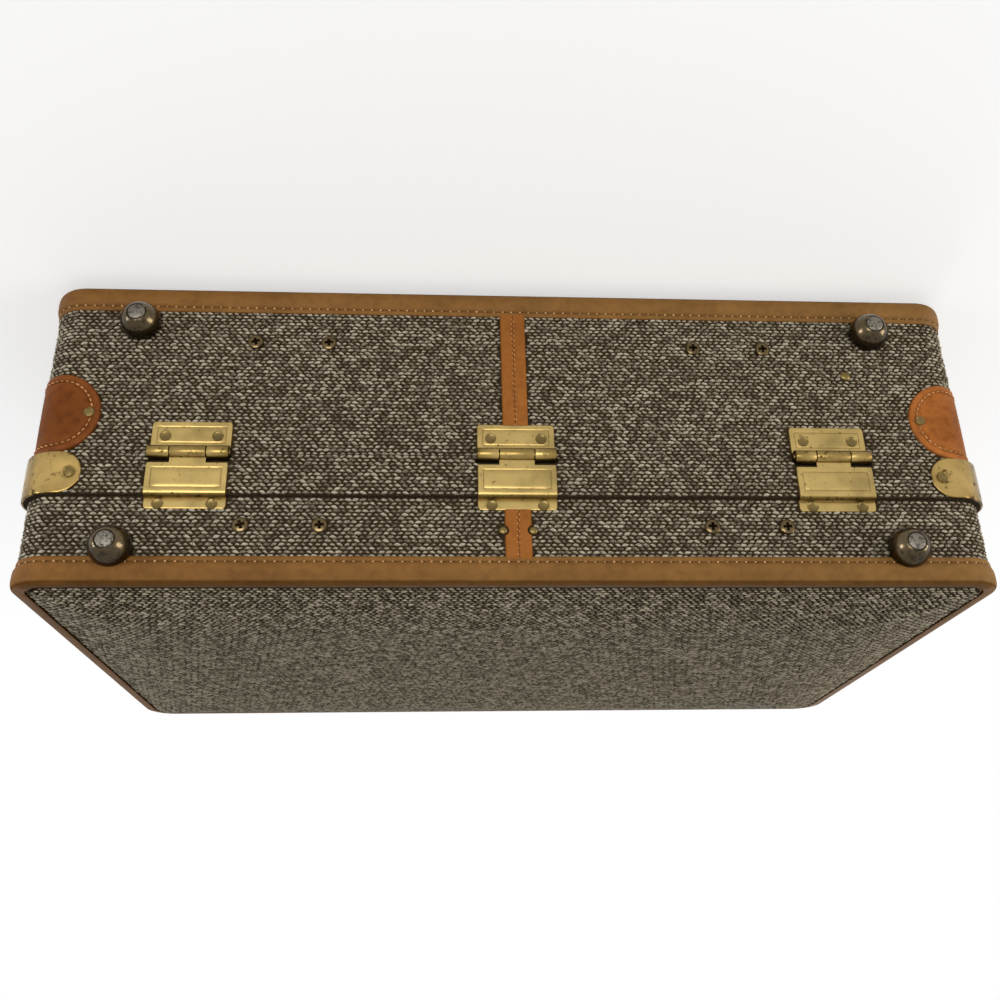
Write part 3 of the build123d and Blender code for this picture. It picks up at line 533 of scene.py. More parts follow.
class Skin:
    """Points and the faces between them, gathered until they become a mesh."""

    def __init__(self):
        self.points, self.faces = [], []

    def grid(self, rows, wrap_rows=False, wrap_columns=False, flip=False):
        """Rows of points with four-sided faces between them; gives the number of the first point."""
        count, columns, start = len(rows), len(rows[0]), len(self.points)
        self.points += [p for row in rows for p in row]
        for i in range(count if wrap_rows else count - 1):
            for j in range(columns if wrap_columns else columns - 1):
                below, beside = (i + 1) % count, (j + 1) % columns
                corners = [(i, j), (below, j), (below, beside), (i, beside)]
                face = [start + row * columns + column for row, column in corners]
                self.faces.append(face[::-1] if flip else face)
        return start

    def slab(self, front, back):
        """A closed sheet between a front and a back grid of points."""
        rows, columns = len(front), len(front[0])
        start, middle = self.grid(front), self.grid(back, flip=True)
        rim = [(0, j) for j in range(columns)] + [(i, columns - 1) for i in range(1, rows)]
        rim += [(rows - 1, j) for j in range(columns - 2, -1, -1)] + [(i, 0) for i in range(rows - 2, 0, -1)]
        rim = [i * columns + j for i, j in rim]
        for a, b in zip(rim, rim[1:] + rim[:1]):
            self.faces.append([start + a, start + b, middle + b, middle + a])
        return self

    def ring(self, rows):
        """A skin closed both ways, round its rows and round its columns."""
        self.grid(rows, wrap_rows=True, wrap_columns=True)
        return self

    def tube(self, rings):
        """A closed skin over rings of points, with a cap at each end."""
        start, count = self.grid(rings, wrap_columns=True), len(rings[0])
        last = len(self.points) - count
        self.faces += [list(range(start, start + count)), list(range(last + count - 1, last - 1, -1))]
        return self

    def turned(self, profile, segments, place=lambda x, y, z: (x, y, z)):
        """A turned shape from (radius, height) points; place puts a local point where it belongs."""
        angles = circle(segments)
        return self.tube([[place(r * math.cos(a), r * math.sin(a), h) for a in angles] for r, h in profile])


def mend(mesh):
    """Merges doubles, turns every face outwards and marks the sharp edges."""
    work = bmesh.new()
    work.from_mesh(mesh)
    bmesh.ops.remove_doubles(work, verts=work.verts, dist=1e-6)
    bmesh.ops.dissolve_degenerate(work, edges=work.edges, dist=1e-7)
    bmesh.ops.recalc_face_normals(work, faces=work.faces)
    work.to_mesh(mesh)
    work.free()
    mesh.polygons.foreach_set("use_smooth", [True] * len(mesh.polygons))
    mesh.set_sharp_from_angle(angle=math.radians(40))


def carry(mesh, label, values):
    """Stores a number or a direction on every point of a mesh."""
    if isinstance(values[0], float):
        mesh.attributes.new(label, "FLOAT", "POINT").data.foreach_set("value", values)
    else:
        flat = [c for vector in values for c in vector]
        mesh.attributes.new(label, "FLOAT_VECTOR", "POINT").data.foreach_set("vector", flat)


def add_object(name, data):
    """A new object in the scene."""
    made = bpy.data.objects.new(name, data)
    bpy.context.scene.collection.objects.link(made)
    return made


def settle(piece, body, slot_name, *nodes):
    """Puts a finished piece on its body, in the place of the CAD nodes that it stands for."""
    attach(piece, body)
    if nodes:
        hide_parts(*nodes)
    return piece


def new_piece(name, skin, look, place=None, soil=None):
    """A piece from a skin, settled in its place; the last argument gives the dirt and painted shade at a point,
    from 0 to 1.
    """
    mesh = bpy.data.meshes.new(name)
    mesh.from_pydata([Vector(p) * MM for p in skin.points], [], skin.faces)
    mend(mesh)
    if soil:
        carry(mesh, "soil", [soil(*(vertex.co / MM)) for vertex in mesh.vertices])
    mesh.materials.append(finish(look))
    piece = add_object(name, mesh)
    return settle(piece, *place) if place else piece


def dress_node(name, look):
    """Gives a CAD node its finish."""
    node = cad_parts[name]
    node.data.materials.clear()
    node.data.materials.append(finish(look))


def softened_copy(name, width, body):
    """A merged copy of a brass CAD node with its edges broken by a small bevel, which replaces it."""
    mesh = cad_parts[name].data.copy()
    work = bmesh.new()
    work.from_mesh(mesh)
    bmesh.ops.remove_doubles(work, verts=work.verts, dist=2e-6)
    bmesh.ops.dissolve_limit(work, angle_limit=math.radians(4), verts=work.verts, edges=work.edges)
    work.to_mesh(mesh)
    work.free()
    mesh.materials.clear()
    mesh.materials.append(finish(BRASS))
    mesh.polygons.foreach_set("use_smooth", [True] * len(mesh.polygons))
    piece = add_object(name + ".finished", mesh)
    bevel = piece.modifiers.new("Broken edges", "BEVEL")
    bevel.width = width * MM
    bevel.segments = 2
    bevel.limit_method = "ANGLE"
    bevel.angle_limit = math.radians(32)
    bevel.use_clamp_overlap = True
    bevel.harden_normals = True
    return settle(piece, body, "brass", name)


# Places round the walls.


def wall_runs():
    """The straight runs and corner arcs round the walls: length, start, and direction or arc."""
    long, deep = WALL_X - CORNER_RADIUS, WALL_Y - CORNER_RADIUS
    arc = CORNER_RADIUS * math.pi / 2
    return [
        (long, (0, WALL_Y), (-1, 0)),
        (arc, (-long, deep), 90),
        (2 * deep, (-WALL_X, deep), (0, -1)),
        (arc, (-long, -deep), 180),
        (2 * long, (-long, -WALL_Y), (1, 0)),
        (arc, (long, -deep), 270),
        (2 * deep, (WALL_X, -deep), (0, 1)),
        (arc, (long, deep), 0),
        (long, (long, WALL_Y), (-1, 0)),
    ]


RUNS = wall_runs()
ROUND = sum(run[0] for run in RUNS)
HALF_ARC = CORNER_RADIUS * math.pi / 4
# The least distance from an end plane that d_distance can turn into one round the wall.
CORNER_START = CORNER_RADIUS * (1 - math.sqrt(0.5)) + 0.01


def wall_at(distance):
    """A point round the walls from the hinge wall's middle, with its outward direction."""
    left = distance % ROUND
    for length, start, way in RUNS:
        if left <= length:
            break
        left -= length
    if isinstance(way, tuple):
        return (start[0] + way[0] * left, start[1] + way[1] * left), (way[1], -way[0])
    angle = math.radians(way) + left / CORNER_RADIUS
    out = (math.cos(angle), math.sin(angle))
    return (start[0] + CORNER_RADIUS * out[0], start[1] + CORNER_RADIUS * out[1]), out


def out_point(distance, lift, z):
    """A point at a distance round the walls, a lift out of them and a height."""
    (x, y), (out_x, out_y) = wall_at(distance)
    return (x + out_x * lift, y + out_y * lift, z)


def seam_point(distance, lift, z):
    """A point of a seam on the walls, with the way that it faces."""
    return out_point(distance, lift, z), (*wall_at(distance)[1], 0.0)


def wall_stations(step):
    """Distances round the walls: every 7 degrees in the corners, every step on the runs."""
    stations, passed = [], 0.0
    for length, _, way in RUNS:
        count = max(1, round(length / step)) if isinstance(way, tuple) else 13
        stations += [passed + length * k / count for k in range(count)]
        passed += length
    return stations


def corner_distances():
    """The middle of each corner arc as a distance round the walls."""
    places, passed = [], 0.0
    for length, _, way in RUNS:
        if not isinstance(way, tuple):
            places.append(passed + length / 2)
        passed += length
    return places


def d_place(distance):
    """How far a place beside a corner's middle lies from the end plane of its wall."""
    away = abs(distance)
    if away >= HALF_ARC:
        return CORNER_RADIUS + away - HALF_ARC
    return CORNER_RADIUS * (1 - math.sin((HALF_ARC - away) / CORNER_RADIUS))


def d_distance(from_end):
    """The distance round the wall from a corner's middle, for a distance from the end plane."""
    if from_end >= CORNER_RADIUS:
        return HALF_ARC + from_end - CORNER_RADIUS
    return HALF_ARC - CORNER_RADIUS * math.asin(1 - from_end / CORNER_RADIUS)


def d_inside(from_end, z, tall, reach):
    """The distance inside a D-ended tongue's edge; negative outside it."""
    radius = tall / 2
    return radius - math.hypot(max(0.0, from_end - (reach - radius)), z)


def crown_rise(past):
    """The height of a crowned face above its flat middle, along one direction."""
    if past <= 0:
        return 0.0
    return CROWN_ARC - math.sqrt(CROWN_ARC**2 - min(past, CROWN_RUN) ** 2)


def crown_at(x, y):
    """How far a face has fallen from its flat middle at a place, and its slope."""
    past_x, past_y = abs(x) - (FACE_X - CROWN_RUN), abs(y) - (FACE_Y - CROWN_RUN)
    fall_x, fall_y = crown_rise(past_x), crown_rise(past_y)
    if fall_x > fall_y:
        return fall_x, (math.copysign(past_x / CROWN_ARC, x), 0.0)
    if fall_y > 0:
        return fall_y, (0.0, math.copysign(past_y / CROWN_ARC, y))
    return 0.0, (0.0, 0.0)


def face_height(x, y, depth, top):
    """The height of a layer of a face that lies a depth inside it."""
    fall = crown_at(x, y)[0] + depth
    return TOP_Z - fall if top else fall


def tweed_height(x, y, top):
    """The height of a face's woven ground, pressed flat where the deep half rests on its slubs."""
    return face_height(x, y, 0.0, top) if top else max(PRESSED, crown_at(x, y)[0])


def on_face(x, y):
    """Whether a place is inside a face's tweed, clear of its rim."""
    clear = 0.6
    if abs(x) > FACE_X - clear or abs(y) > FACE_Y - clear:
        return False
    return abs(x) + abs(y) < FACE_X + FACE_Y - FACE_CORNER


# Geometry Nodes.

PIECE_INPUTS = {
    "Piece": "Object",
    "Size": "Vector",
    "Size Spread": "Float",
    "Turn Spread": "Float",
    "Shift": "Vector",
    "Seed": "Int",
    "Finish": "Material",
}


def open_tree(name, inputs):
    """A tree with its named inputs, a function that adds nodes to it, and the inputs' sockets."""
    tree = bpy.data.node_groups.new(name, "GeometryNodeTree")
    tree.interface.new_socket("Geometry", in_out="OUTPUT", socket_type="NodeSocketGeometry")
    for label, kind in {"Geometry": "Geometry", **inputs}.items():
        tree.interface.new_socket(label, in_out="INPUT", socket_type="NodeSocket" + kind)
    add = partial(add_node, tree)
    return tree, add, add("NodeGroupInput").outputs


def set_pieces(add, given, spots, facing, along):
    """Sets a copy of the piece on every spot, turned to face out, and makes them one mesh."""
    piece = add("GeometryNodeObjectInfo", {"Object": given["Piece"]}, transform_space="ORIGINAL")
    axes = {"Primary Axis": facing, "Secondary Axis": along}
    turned = add("FunctionNodeAxesToRotation", axes, primary_axis="Z", secondary_axis="X")
    back = add("ShaderNodeMath", {0: given["Turn Spread"], 1: -1.0}, operation="MULTIPLY")
    turns = {"Min": back, "Max": given["Turn Spread"], "Seed": given["Seed"]}
    turn = add("FunctionNodeRandomValue", turns, data_type="FLOAT")
    spin = add("FunctionNodeAxisAngleToRotation", {"Axis": (0.0, 0.0, 1.0), "Angle": turn})
    final = add("FunctionNodeRotateRotation", {"Rotation": turned, "Rotate By": spin}, rotation_space="LOCAL")
    small = add("ShaderNodeMath", {0: 1.0, 1: given["Size Spread"]}, operation="SUBTRACT")
    large = add("ShaderNodeMath", {0: 1.0, 1: given["Size Spread"]}, operation="ADD")
    seeds = [add("ShaderNodeMath", {0: given["Seed"], 1: float(step)}, operation="ADD") for step in (1, 2, 3)]
    size = add("FunctionNodeRandomValue", {"Min": small, "Max": large, "Seed": seeds[0]}, data_type="FLOAT")
    scale = add("ShaderNodeVectorMath", {0: given["Size"], "Scale": size}, operation="SCALE")
    set_down = {"Points": spots, "Instance": piece.outputs["Geometry"], "Rotation": final, "Scale": scale}
    placed = add("GeometryNodeInstanceOnPoints", set_down)
    back = add("ShaderNodeVectorMath", {0: given["Shift"], 1: (-1.0, -1.0, -1.0)}, operation="MULTIPLY")
    shift = {0: back, 1: given["Shift"], "Seed": seeds[1]}
    shift = add("FunctionNodeRandomValue", shift, data_type="FLOAT_VECTOR")
    moved = {"Instances": placed, "Local Space": True, "Translation": shift}
    moved = add("GeometryNodeTranslateInstances", moved)
    tone = add("FunctionNodeRandomValue", {"Seed": seeds[2]}, data_type="FLOAT")
    toned = {"Geometry": moved, "Name": "tone", "Value": tone}
    toned = add("GeometryNodeStoreNamedAttribute", toned, data_type="FLOAT", domain="INSTANCE")
    real = add("GeometryNodeRealizeInstances", {"Geometry": toned})
    done = add("GeometryNodeSetMaterial", {"Geometry": real, "Material": given["Finish"]})
    add("NodeGroupOutput", {"Geometry": done})


def spots_tree(name):
    """Pieces on marked spots: slubs, rivets, screws and glides."""
    tree, add, given = open_tree(name, PIECE_INPUTS)
    facing = add("GeometryNodeInputNamedAttribute", {"Name": "facing"}, data_type="FLOAT_VECTOR")
    along = add("GeometryNodeInputNamedAttribute", {"Name": "along"}, data_type="FLOAT_VECTOR")
    set_pieces(add, given, given["Geometry"], facing, along)
    return tree


def seam_tree(name):
    """Stitches along a seam: the seam's line is divided evenly and a stitch set at each mark."""
    tree, add, given = open_tree(name, {**PIECE_INPUTS, "Pitch": "Float"})
    line = add("GeometryNodeMeshToCurve", {"Mesh": given["Geometry"]})
    marks = add("GeometryNodeResampleCurve", {"Curve": line, "Length": given["Pitch"]}, mode="LENGTH")
    facing = add("GeometryNodeInputNamedAttribute", {"Name": "facing"}, data_type="FLOAT_VECTOR")
    set_pieces(add, given, marks, facing, add("GeometryNodeInputTangent"))
    return tree


TREES = {"Pieces on spots": spots_tree, "Stitches along a seam": seam_tree}


def run_tree(kind, name, mesh, values):
    """Runs a tree on a mesh and keeps the result as a plain mesh object."""
    tree = bpy.data.node_groups.get(kind) or TREES[kind](kind)
    carrier = add_object(name, mesh)
    modifier = carrier.modifiers.new("Pieces", "NODES")
    modifier.node_group = tree
    sockets = {item.name: item.identifier for item in tree.interface.items_tree if item.in_out == "INPUT"}
    for label, value in values.items():
        modifier[sockets[label]] = value
    graph = bpy.context.evaluated_depsgraph_get()
    plain = bpy.data.meshes.new_from_object(carrier.evaluated_get(graph))
    carrier.modifiers.clear()
    carrier.data = plain
    plain.name = name
    return carrier


def pieces_on_spots(
    name, spots, shape, look, place, size=(1, 1, 1), spread=0.0, turn=0.0, shift=(0, 0, 0), seed=0
):
    """Copies of a shape on spots, each (point, facing, along), as one plain mesh in its place."""
    mesh = bpy.data.meshes.new(name + ".spots")
    mesh.from_pydata([Vector(spot[0]) * MM for spot in spots], [], [])
    carry(mesh, "facing", [spot[1] for spot in spots])
    carry(mesh, "along", [spot[2] for spot in spots])
    values = {
        "Piece": shape,
        "Size": size,
        "Size Spread": spread,
        "Turn Spread": turn,
        "Shift": shift,
        "Seed": seed,
        "Finish": finish(look),
    }
    settle(run_tree("Pieces on spots", name, mesh, values), *place)


def stitched_seams(name, seams, place, seed, sunk=0.0, pitch="fine_pitch", thread="Linen thread, stained"):
    """Stitches along seams, each a list of (point, facing); sunk is the size of a sunken stitch."""
    look = bpy.context.scene.suitcase_leather
    points, edges, facing = [], [], []
    for seam in seams:
        edges += [(len(points) + k, len(points) + k + 1) for k in range(len(seam) - 1)]
        points += [Vector(point) * MM for point, _ in seam]
        facing += [out for _, out in seam]
    mesh = bpy.data.meshes.new(name + ".seams")
    mesh.from_pydata(points, edges, [])
    carry(mesh, "facing", facing)
    shape = sunken_stitch_shape() if sunk else stitch_shape()
    values = {
        "Piece": shape,
        "Size": (sunk * MM,) * 3 if sunk else (look.stitch_length, look.thread_width, look.thread_width),
        "Size Spread": 0.08,
        "Turn Spread": math.radians(5),
        "Shift": (0.0001, 0.0001, 0.0),
        "Seed": seed,
        "Finish": finish(thread),
        "Pitch": getattr(look, pitch),
    }
    settle(run_tree("Stitches along a seam", name, mesh, values), *place)
    bpy.data.objects.remove(shape)


def unit_shape(name, skin, crest):
    """A shape of unit size to be copied; crest gives how light a point of it is, from 0 to 1, which the finishes
    use as painted shade.
    """
    mesh = bpy.data.meshes.new(name)
    mesh.from_pydata(skin.points, [], skin.faces)
    mend(mesh)
    mesh.set_sharp_from_angle(angle=math.pi)
    carry(mesh, "crest", [crest(vertex.co) for vertex in mesh.vertices])
    return bpy.data.objects.new(name, mesh)


def slub_shape():
    """One wool slub of unit size: a low twisted ridge whose ends dive under, with eight triangles."""
    skin = Skin()
    skin.points = [(-0.5, 0.12, -0.05), (0.5, 0.12, -0.05), (-0.24, -0.06, 1.0), (0.24, -0.02, 1.0)]
    skin.points += [(0.1, -0.5, -0.15), (-0.1, 0.44, -0.15)]
    skin.faces = [(2, 4, 3), (2, 3, 5), (0, 4, 2), (0, 2, 5), (1, 3, 4), (1, 5, 3), (0, 5, 4), (1, 4, 5)]
    # Lower points get more painted shade in the wool's finish.
    return unit_shape("Slub", skin, lambda at: max(0.0, at.z))


def stitch_shape():
    """One stitch of unit size, an arched thread whose ends dip into the leather."""
    arch = [(-0.5, 0.12, -0.45), (-0.36, 0.42, 0.0), (0.0, 0.5, 0.22), (0.36, 0.42, 0.0), (0.5, 0.12, -0.45)]
    rings = [[(x, r * math.cos(a), rise + r * math.sin(a)) for a in circle(6)] for x, r, rise in arch]
    # The thread's ends, where it dips into the leather, take the painted shade of the holes.
    return unit_shape("Stitch", Skin().tube(rings), lambda at: 1.0 if abs(at.x) < 0.4 else 0.0)


def sunken_stitch_shape():
    """One stitch that has sunk into soft leather: a flat disc of painted shade for its hole, and the bright knot
    beside it.
    """
    skin = Skin()
    dome = [(1.0, -0.04), (1.0, 0.0), (0.8, 0.6), (0.45, 0.9), (0.03, 1.0)]
    for middle, long, wide, tall in ((-0.14, 0.11, 0.085, 0.02), (0.09, 0.13, 0.1, 0.11)):
        skin.turned(dome, 8, lambda x, y, z: (middle + x * long, y * wide, z * tall))
    return unit_shape("Sunken stitch", skin, lambda at: 1.0 if at.z > 0.03 else 0.0)


def turned_shape(name, profile, segments, size=1.0, soil=None):
    """A turned shape to be copied, standing on local XY."""
    skin = Skin().turned([(r * size, h * size) for r, h in profile], segments)
    return new_piece(name, skin, AGED, soil=soil)


def wall_spots(side, xs, z, lift):
    """Spots on the hinge or handle wall."""
    return [((x, side * (WALL_Y + lift), z), (0, side, 0), (1, 0, 0)) for x in xs]


def pairs(middles, spread):
    """Places on both sides of each middle."""
    return [middle + side * spread for middle in middles for side in SIDES]


# Tweed.


def under_fitting(x, y, z, flat):
    """Whether a place on a wall lies under leather or metal."""
    gap_x, gap_y = WALL_X - abs(x), WALL_Y - abs(y)
    from_end = min(gap_x, gap_y)
    if from_end < 0.01:
        from_end = gap_x if abs(y) > abs(x) * WALL_Y / WALL_X else gap_y
    if z < PART_Z and d_inside(from_end, z - LEATHER_MID, LEATHER_TALL, LEATHER_REACH) > 0.5:
        return True
    if BAND_LOW <= z <= BAND_TOP and d_inside(from_end, z - BAND_MID, BAND_TALL, GUARD_REACH) > 0.4:
        return True
    if not flat:
        return False
    if y < 0:
        return any(abs(abs(x) - at) < half and low < z < high for at, half, low, high in FRONT_FITTINGS)
    if abs(x) < STRAP_WIDTH / 2 + 0.2 or math.hypot(x - PLUG_X, z - PLUG_Z) < PLUG_COVER:
        return True
    half = LEAF_WIDTH / 2 + 0.3
    if BASE_LEAF_LOW < z < LID_LEAF_HIGH and any(abs(x - middle) < half for middle in HINGE_XS):
        return True
    return any(math.hypot(abs(x) - at_x, z - at_z) < radius for at_x, at_z, radius in ROUND_FITTINGS)


def slub_start(row):
    """Where a row of slubs starts, as a share of their pitch: every second row half a pitch on."""
    return (0.5 if row % 2 else 0.0) + 0.1 * math.sin(2.4 * row)


def wall_slubs(look, levels, lift):
    """Spots for slubs round the walls, a row at each height."""
    spots, count = [], round(ROUND * MM / look.pitch)
    step = ROUND / count
    for row, z in enumerate(levels):
        distance = step * slub_start(row)
        for _ in range(count):
            (x, y), (out_x, out_y) = wall_at(distance)
            if not under_fitting(x, y, z, abs(out_y) == 1.0):
                place = (x + out_x * lift, y + out_y * lift, z)
                spots.append((place, (out_x, out_y, 0.0), (-out_y, out_x, 0)))
            distance += step
    return spots


def face_slubs(look, top):
    """Spots for slubs on a face, following its crown."""
    spots, up = [], 1.0 if top else -1.0
    pitch, row = look.pitch / MM, look.row / MM
    rows, columns = int(WALL_Y / row), int(WALL_X / pitch) + 1
    for j in range(-rows, rows + 1):
        for i in range(-columns, columns + 1):
            x, y = i * pitch + pitch * slub_start(j), j * row
            if on_face(x, y):
                facing = Vector((*crown_at(x, y)[1], up)).normalized()
                spots.append(((x, y, tweed_height(x, y, top)), tuple(facing), (-up, 0.0, 0.0)))
    return spots


def face_cloth(top):
    """The woven ground of one face: a thin crowned sheet with its corners cut."""
    outer, inner = [], []
    for y in heights(-FACE_Y, FACE_Y, 7.0):
        wide = min(FACE_X, FACE_X + FACE_Y - FACE_CORNER - abs(y))
        row = [(share * wide, y) for share in heights(-1.0, 1.0, 0.026)]
        outer.append([(x, y, tweed_height(x, y, top)) for x, y in row])
        inner.append([(x, y, face_height(x, y, TWEED, top)) for x, y in row])
    return Skin().slab(outer, inner)


def wall_cloth(low, high):
    """The woven ground round the walls between two heights."""
    section = [(0.0, low), (0.0, high), (-TWEED, high), (-TWEED, low)]
    return Skin().ring([[out_point(s, lift, z) for lift, z in section] for s in wall_stations(10.0)])


class SUITCASE_OT_tweed(bpy.types.Operator):
    """Weaves the tweed on the walls, the raised band and both faces"""

    bl_idname = "suitcase.tweed"
    bl_label = "Tweed Covering"

    def execute(self, context):
        look = context.scene.suitcase_tweed
        dress_node("lid_raised_band", WARP)
        for half in HALVES:
            place = (half, "tweed", f"{half}_face_covering")
            piece = new_piece(f"{half}_face_ground", face_cloth(half == "lid"), WARP, place)
            low, high = (corner[2] for corner in node_corners(f"{half}_wall_covering"))
            place = (half, "tweed", f"{half}_wall_covering")
            piece = new_piece(f"{half}_wall_ground", wall_cloth(low, high), WARP, place)
        row, sunk = look.row / MM, -0.05
        base = heights(EDGE_Z + FLANGE_HEIGHT + 0.4, PART_Z - 1.2, row)
        lid = heights(BAND_TOP + 1.5, LID_EDGE_Z - FLANGE_HEIGHT - 0.4, row)
        band = heights(BAND_LOW + 1.7, BAND_TOP - 1.3, row)
        pieces = [
            ("base_wall_tweed", wall_slubs(look, base, sunk), "base"),
            ("lid_wall_tweed", wall_slubs(look, lid, sunk), "lid"),
            ("lid_band_tweed", wall_slubs(look, band, BAND_PROUD + sunk), "lid"),
            ("base_face_tweed", face_slubs(look, False), "base"),
            ("lid_face_tweed", face_slubs(look, True), "lid"),
        ]
        slub = slub_shape()
        size = (look.slub_length, look.slub_width, look.slub_height)
        shift = (0.0009, 0.0005, 0.00015)
        for index, (name, spots, body) in enumerate(pieces):
            given = (size, look.spread, look.turn, shift, look.seed + index * 10)
            pieces_on_spots(name, spots, slub, "Wool slubs, carded", (body, "tweed"), *given)
        bpy.data.objects.remove(slub)
        return {"FINISHED"}


# Leather.

# The binding's section from the end of its flange, over its bead and on to the face, as (lift, height).
BINDING_PROFILE = [
    (0.0, 15.5), (0.75, 15.5), (1.1, 15.25), (1.3, 14.5), (1.4, 13.6), (1.36, 13.1), (1.15, 12.7),
    (1.05, 12.35), (1.2, 12.0), (1.75, 11.5), (2.2, 10.8), (2.45, 9.6), (2.55, 7.8), (2.6, 5.6),
    (2.5, 3.6), (2.25, 2.4), (1.85, 1.6), (1.35, 1.0), (0.7, 0.5), (-0.6, 0.12), (-2.6, 0.0),
    (-4.6, 0.05), (-5.3, 0.25), (-5.5, 0.7), (-5.5, 1.5), (0.0, 1.5),
]
BINDING_STITCH = (1.1, 12.4)


def binding_lift(distance, lift, height):
    """How far a binding stands out at a place, a little uneven since it was rolled over by hand."""
    body = max(0.0, 1 - abs(height - 6.5) / 7) if lift > 1 else 0.0
    return lift + body * (0.10 * math.sin(distance / 17.0) + 0.07 * math.sin(distance / 6.3 + 1.1))


def wall_inward(x, y):
    """How far a place lies inside the outline of the walls."""
    past_x, past_y = abs(x) - WALL_X + CORNER_RADIUS, abs(y) - WALL_Y + CORNER_RADIUS
    if past_x > 0 and past_y > 0:
        return CORNER_RADIUS - math.hypot(past_x, past_y)
    return CORNER_RADIUS - max(past_x, past_y)


def binding_soil_and_shade(edge, up):
    """Painted shade with some dirt on a binding: painted shadows at its cut edge and where its face flange meets
    the tweed, painted shade in its stitch groove and under its bead, darker down the bead's lower part, and a
    darker face flange along the hinge and handle walls.
    """

    def soil(x, y, z):
        height = up * (z - edge)
        # On the face: darker along the hinge and handle walls, with a painted shadow at the flange's inner edge.
        if height < 0.8:
            ground = 0.35 if WALL_Y - abs(y) < WALL_X - abs(x) else 0.1
            return min(1.0, ground + 0.75 * bell(wall_inward(x, y) - 5.5, 0.5))
        # Painted shade in the stitch groove and under the bead, a painted shadow at the cut edge, and the bead
        # darker towards its foot.
        dirt_and_shade = 0.45 * bell(height - BINDING_STITCH[1], 0.4) + 0.6 * bell(height - 1.2, 0.5)
        return min(1.0, dirt_and_shade + 0.5 * bell(height - FLANGE_HEIGHT, 0.2) + 0.12 * bell(height - 4.0, 2.0))

    return soil


class SUITCASE_OT_bindings(bpy.types.Operator):
    """Rolls the leather binding round the edge of both faces and stitches it"""

    bl_idname = "suitcase.bindings"
    bl_label = "Edge Bindings"

    def execute(self, context):
        stations = wall_stations(7.0)
        for half, edge, up in (("base", EDGE_Z, 1), ("lid", LID_EDGE_Z, -1)):
            rings = []
            for s in stations:
                section = [(binding_lift(s * up, lift, height), height) for lift, height in BINDING_PROFILE]
                rings.append([out_point(s, lift, edge + up * height) for lift, height in section])
            place = (half, "binding")
            look, soil = "Edge binding leather, waxed", binding_soil_and_shade(edge, up)
            new_piece(f"{half}_edge_binding", Skin().ring(rings), look, (*place, f"{half}_binding"), soil)
            lift, height = BINDING_STITCH
            seam = [seam_point(s, lift, edge + up * height) for s in stations + [ROUND]]
            name = f"{half}_binding_stitches"
            stitched_seams(name, [seam], place, 3 + up, 5.4, "edge_pitch", "Linen thread, waxed")
        return {"FINISHED"}


STRAP_COLUMNS = mirrored([0, 0.05, 0.1, 0.2, 0.4, 0.7, 0.9, 0.95, 0.985, 1])


def strap_half(z, notched):
    """Half of the centre strap's width at a height."""
    half = STRAP_WIDTH / 2
    away = abs(z - STRAP_NOTCH_Z)
    if notched and away < STRAP_NOTCH:
        half = min(half, STRAP_NOTCH_X - math.sqrt(STRAP_NOTCH**2 - away**2))
    return half


def strap_lift(inside, x):
    """How far the centre strap stands out: rounded edges and a hollow along its middle seam."""
    return rounded(inside, STRAP_THICK, 0.9) - 0.35 * bell(x, 0.8)


def strap_soil_and_shade(x, y, z):
    """Darker on the centre strap: painted shade in the hollow along its seam, and at its edges."""
    return 0.4 * bell(x, 0.5) + 0.5 * bell(abs(x) - STRAP_WIDTH / 2, 0.35)


class SUITCASE_OT_straps(bpy.types.Operator):
    """Lays the leather strap down the middle of the hinge wall"""

    bl_idname = "suitcase.straps"
    bl_label = "Centre Straps"

    def execute(self, context):
        pitch = context.scene.suitcase_leather.fine_pitch / MM
        # The strap's ends, its rows' step, and how far its seams stop short of its ends.
        spans = {
            "base": (EDGE_Z + FLANGE_HEIGHT - 1.5, BASE_LEAF_LOW + 0.5, 1.5, 3, 1),
            "lid": (LID_LEAF_HIGH - 0.5, LID_EDGE_Z - FLANGE_HEIGHT + 1.5, 0.5, 1, 3),
        }
        for half, (low, high, step, after, before) in spans.items():
            front, back = [], []
            for z in heights(low, high, step):
                wide = strap_half(z, half == "lid")
                row = [(s * wide, strap_lift(wide * (1 - abs(s)), s * wide)) for s in STRAP_COLUMNS]
                front.append([(x, WALL_Y + lift, z) for x, lift in row])
                back.append([(x, WALL_Y - 0.3, z) for x, _ in row])
            place = (half, "tan_leather", f"{half}_centre_strap")
            new_piece(f"{half}_strap", Skin().slab(front, back), BRIDLE, place, strap_soil_and_shade)
            seams = []
            for side in SIDES:
                levels = heights(low + after + (pitch / 2 if side > 0 else 0.0), high - before, 4)
                seams.append([((side * 0.55, WALL_Y + STRAP_THICK - 0.2, z), (0, 1, 0)) for z in levels])
            stitched_seams(f"{half}_strap_stitches", seams, (half, "tan_leather"), 7, 4.2)
        return {"FINISHED"}


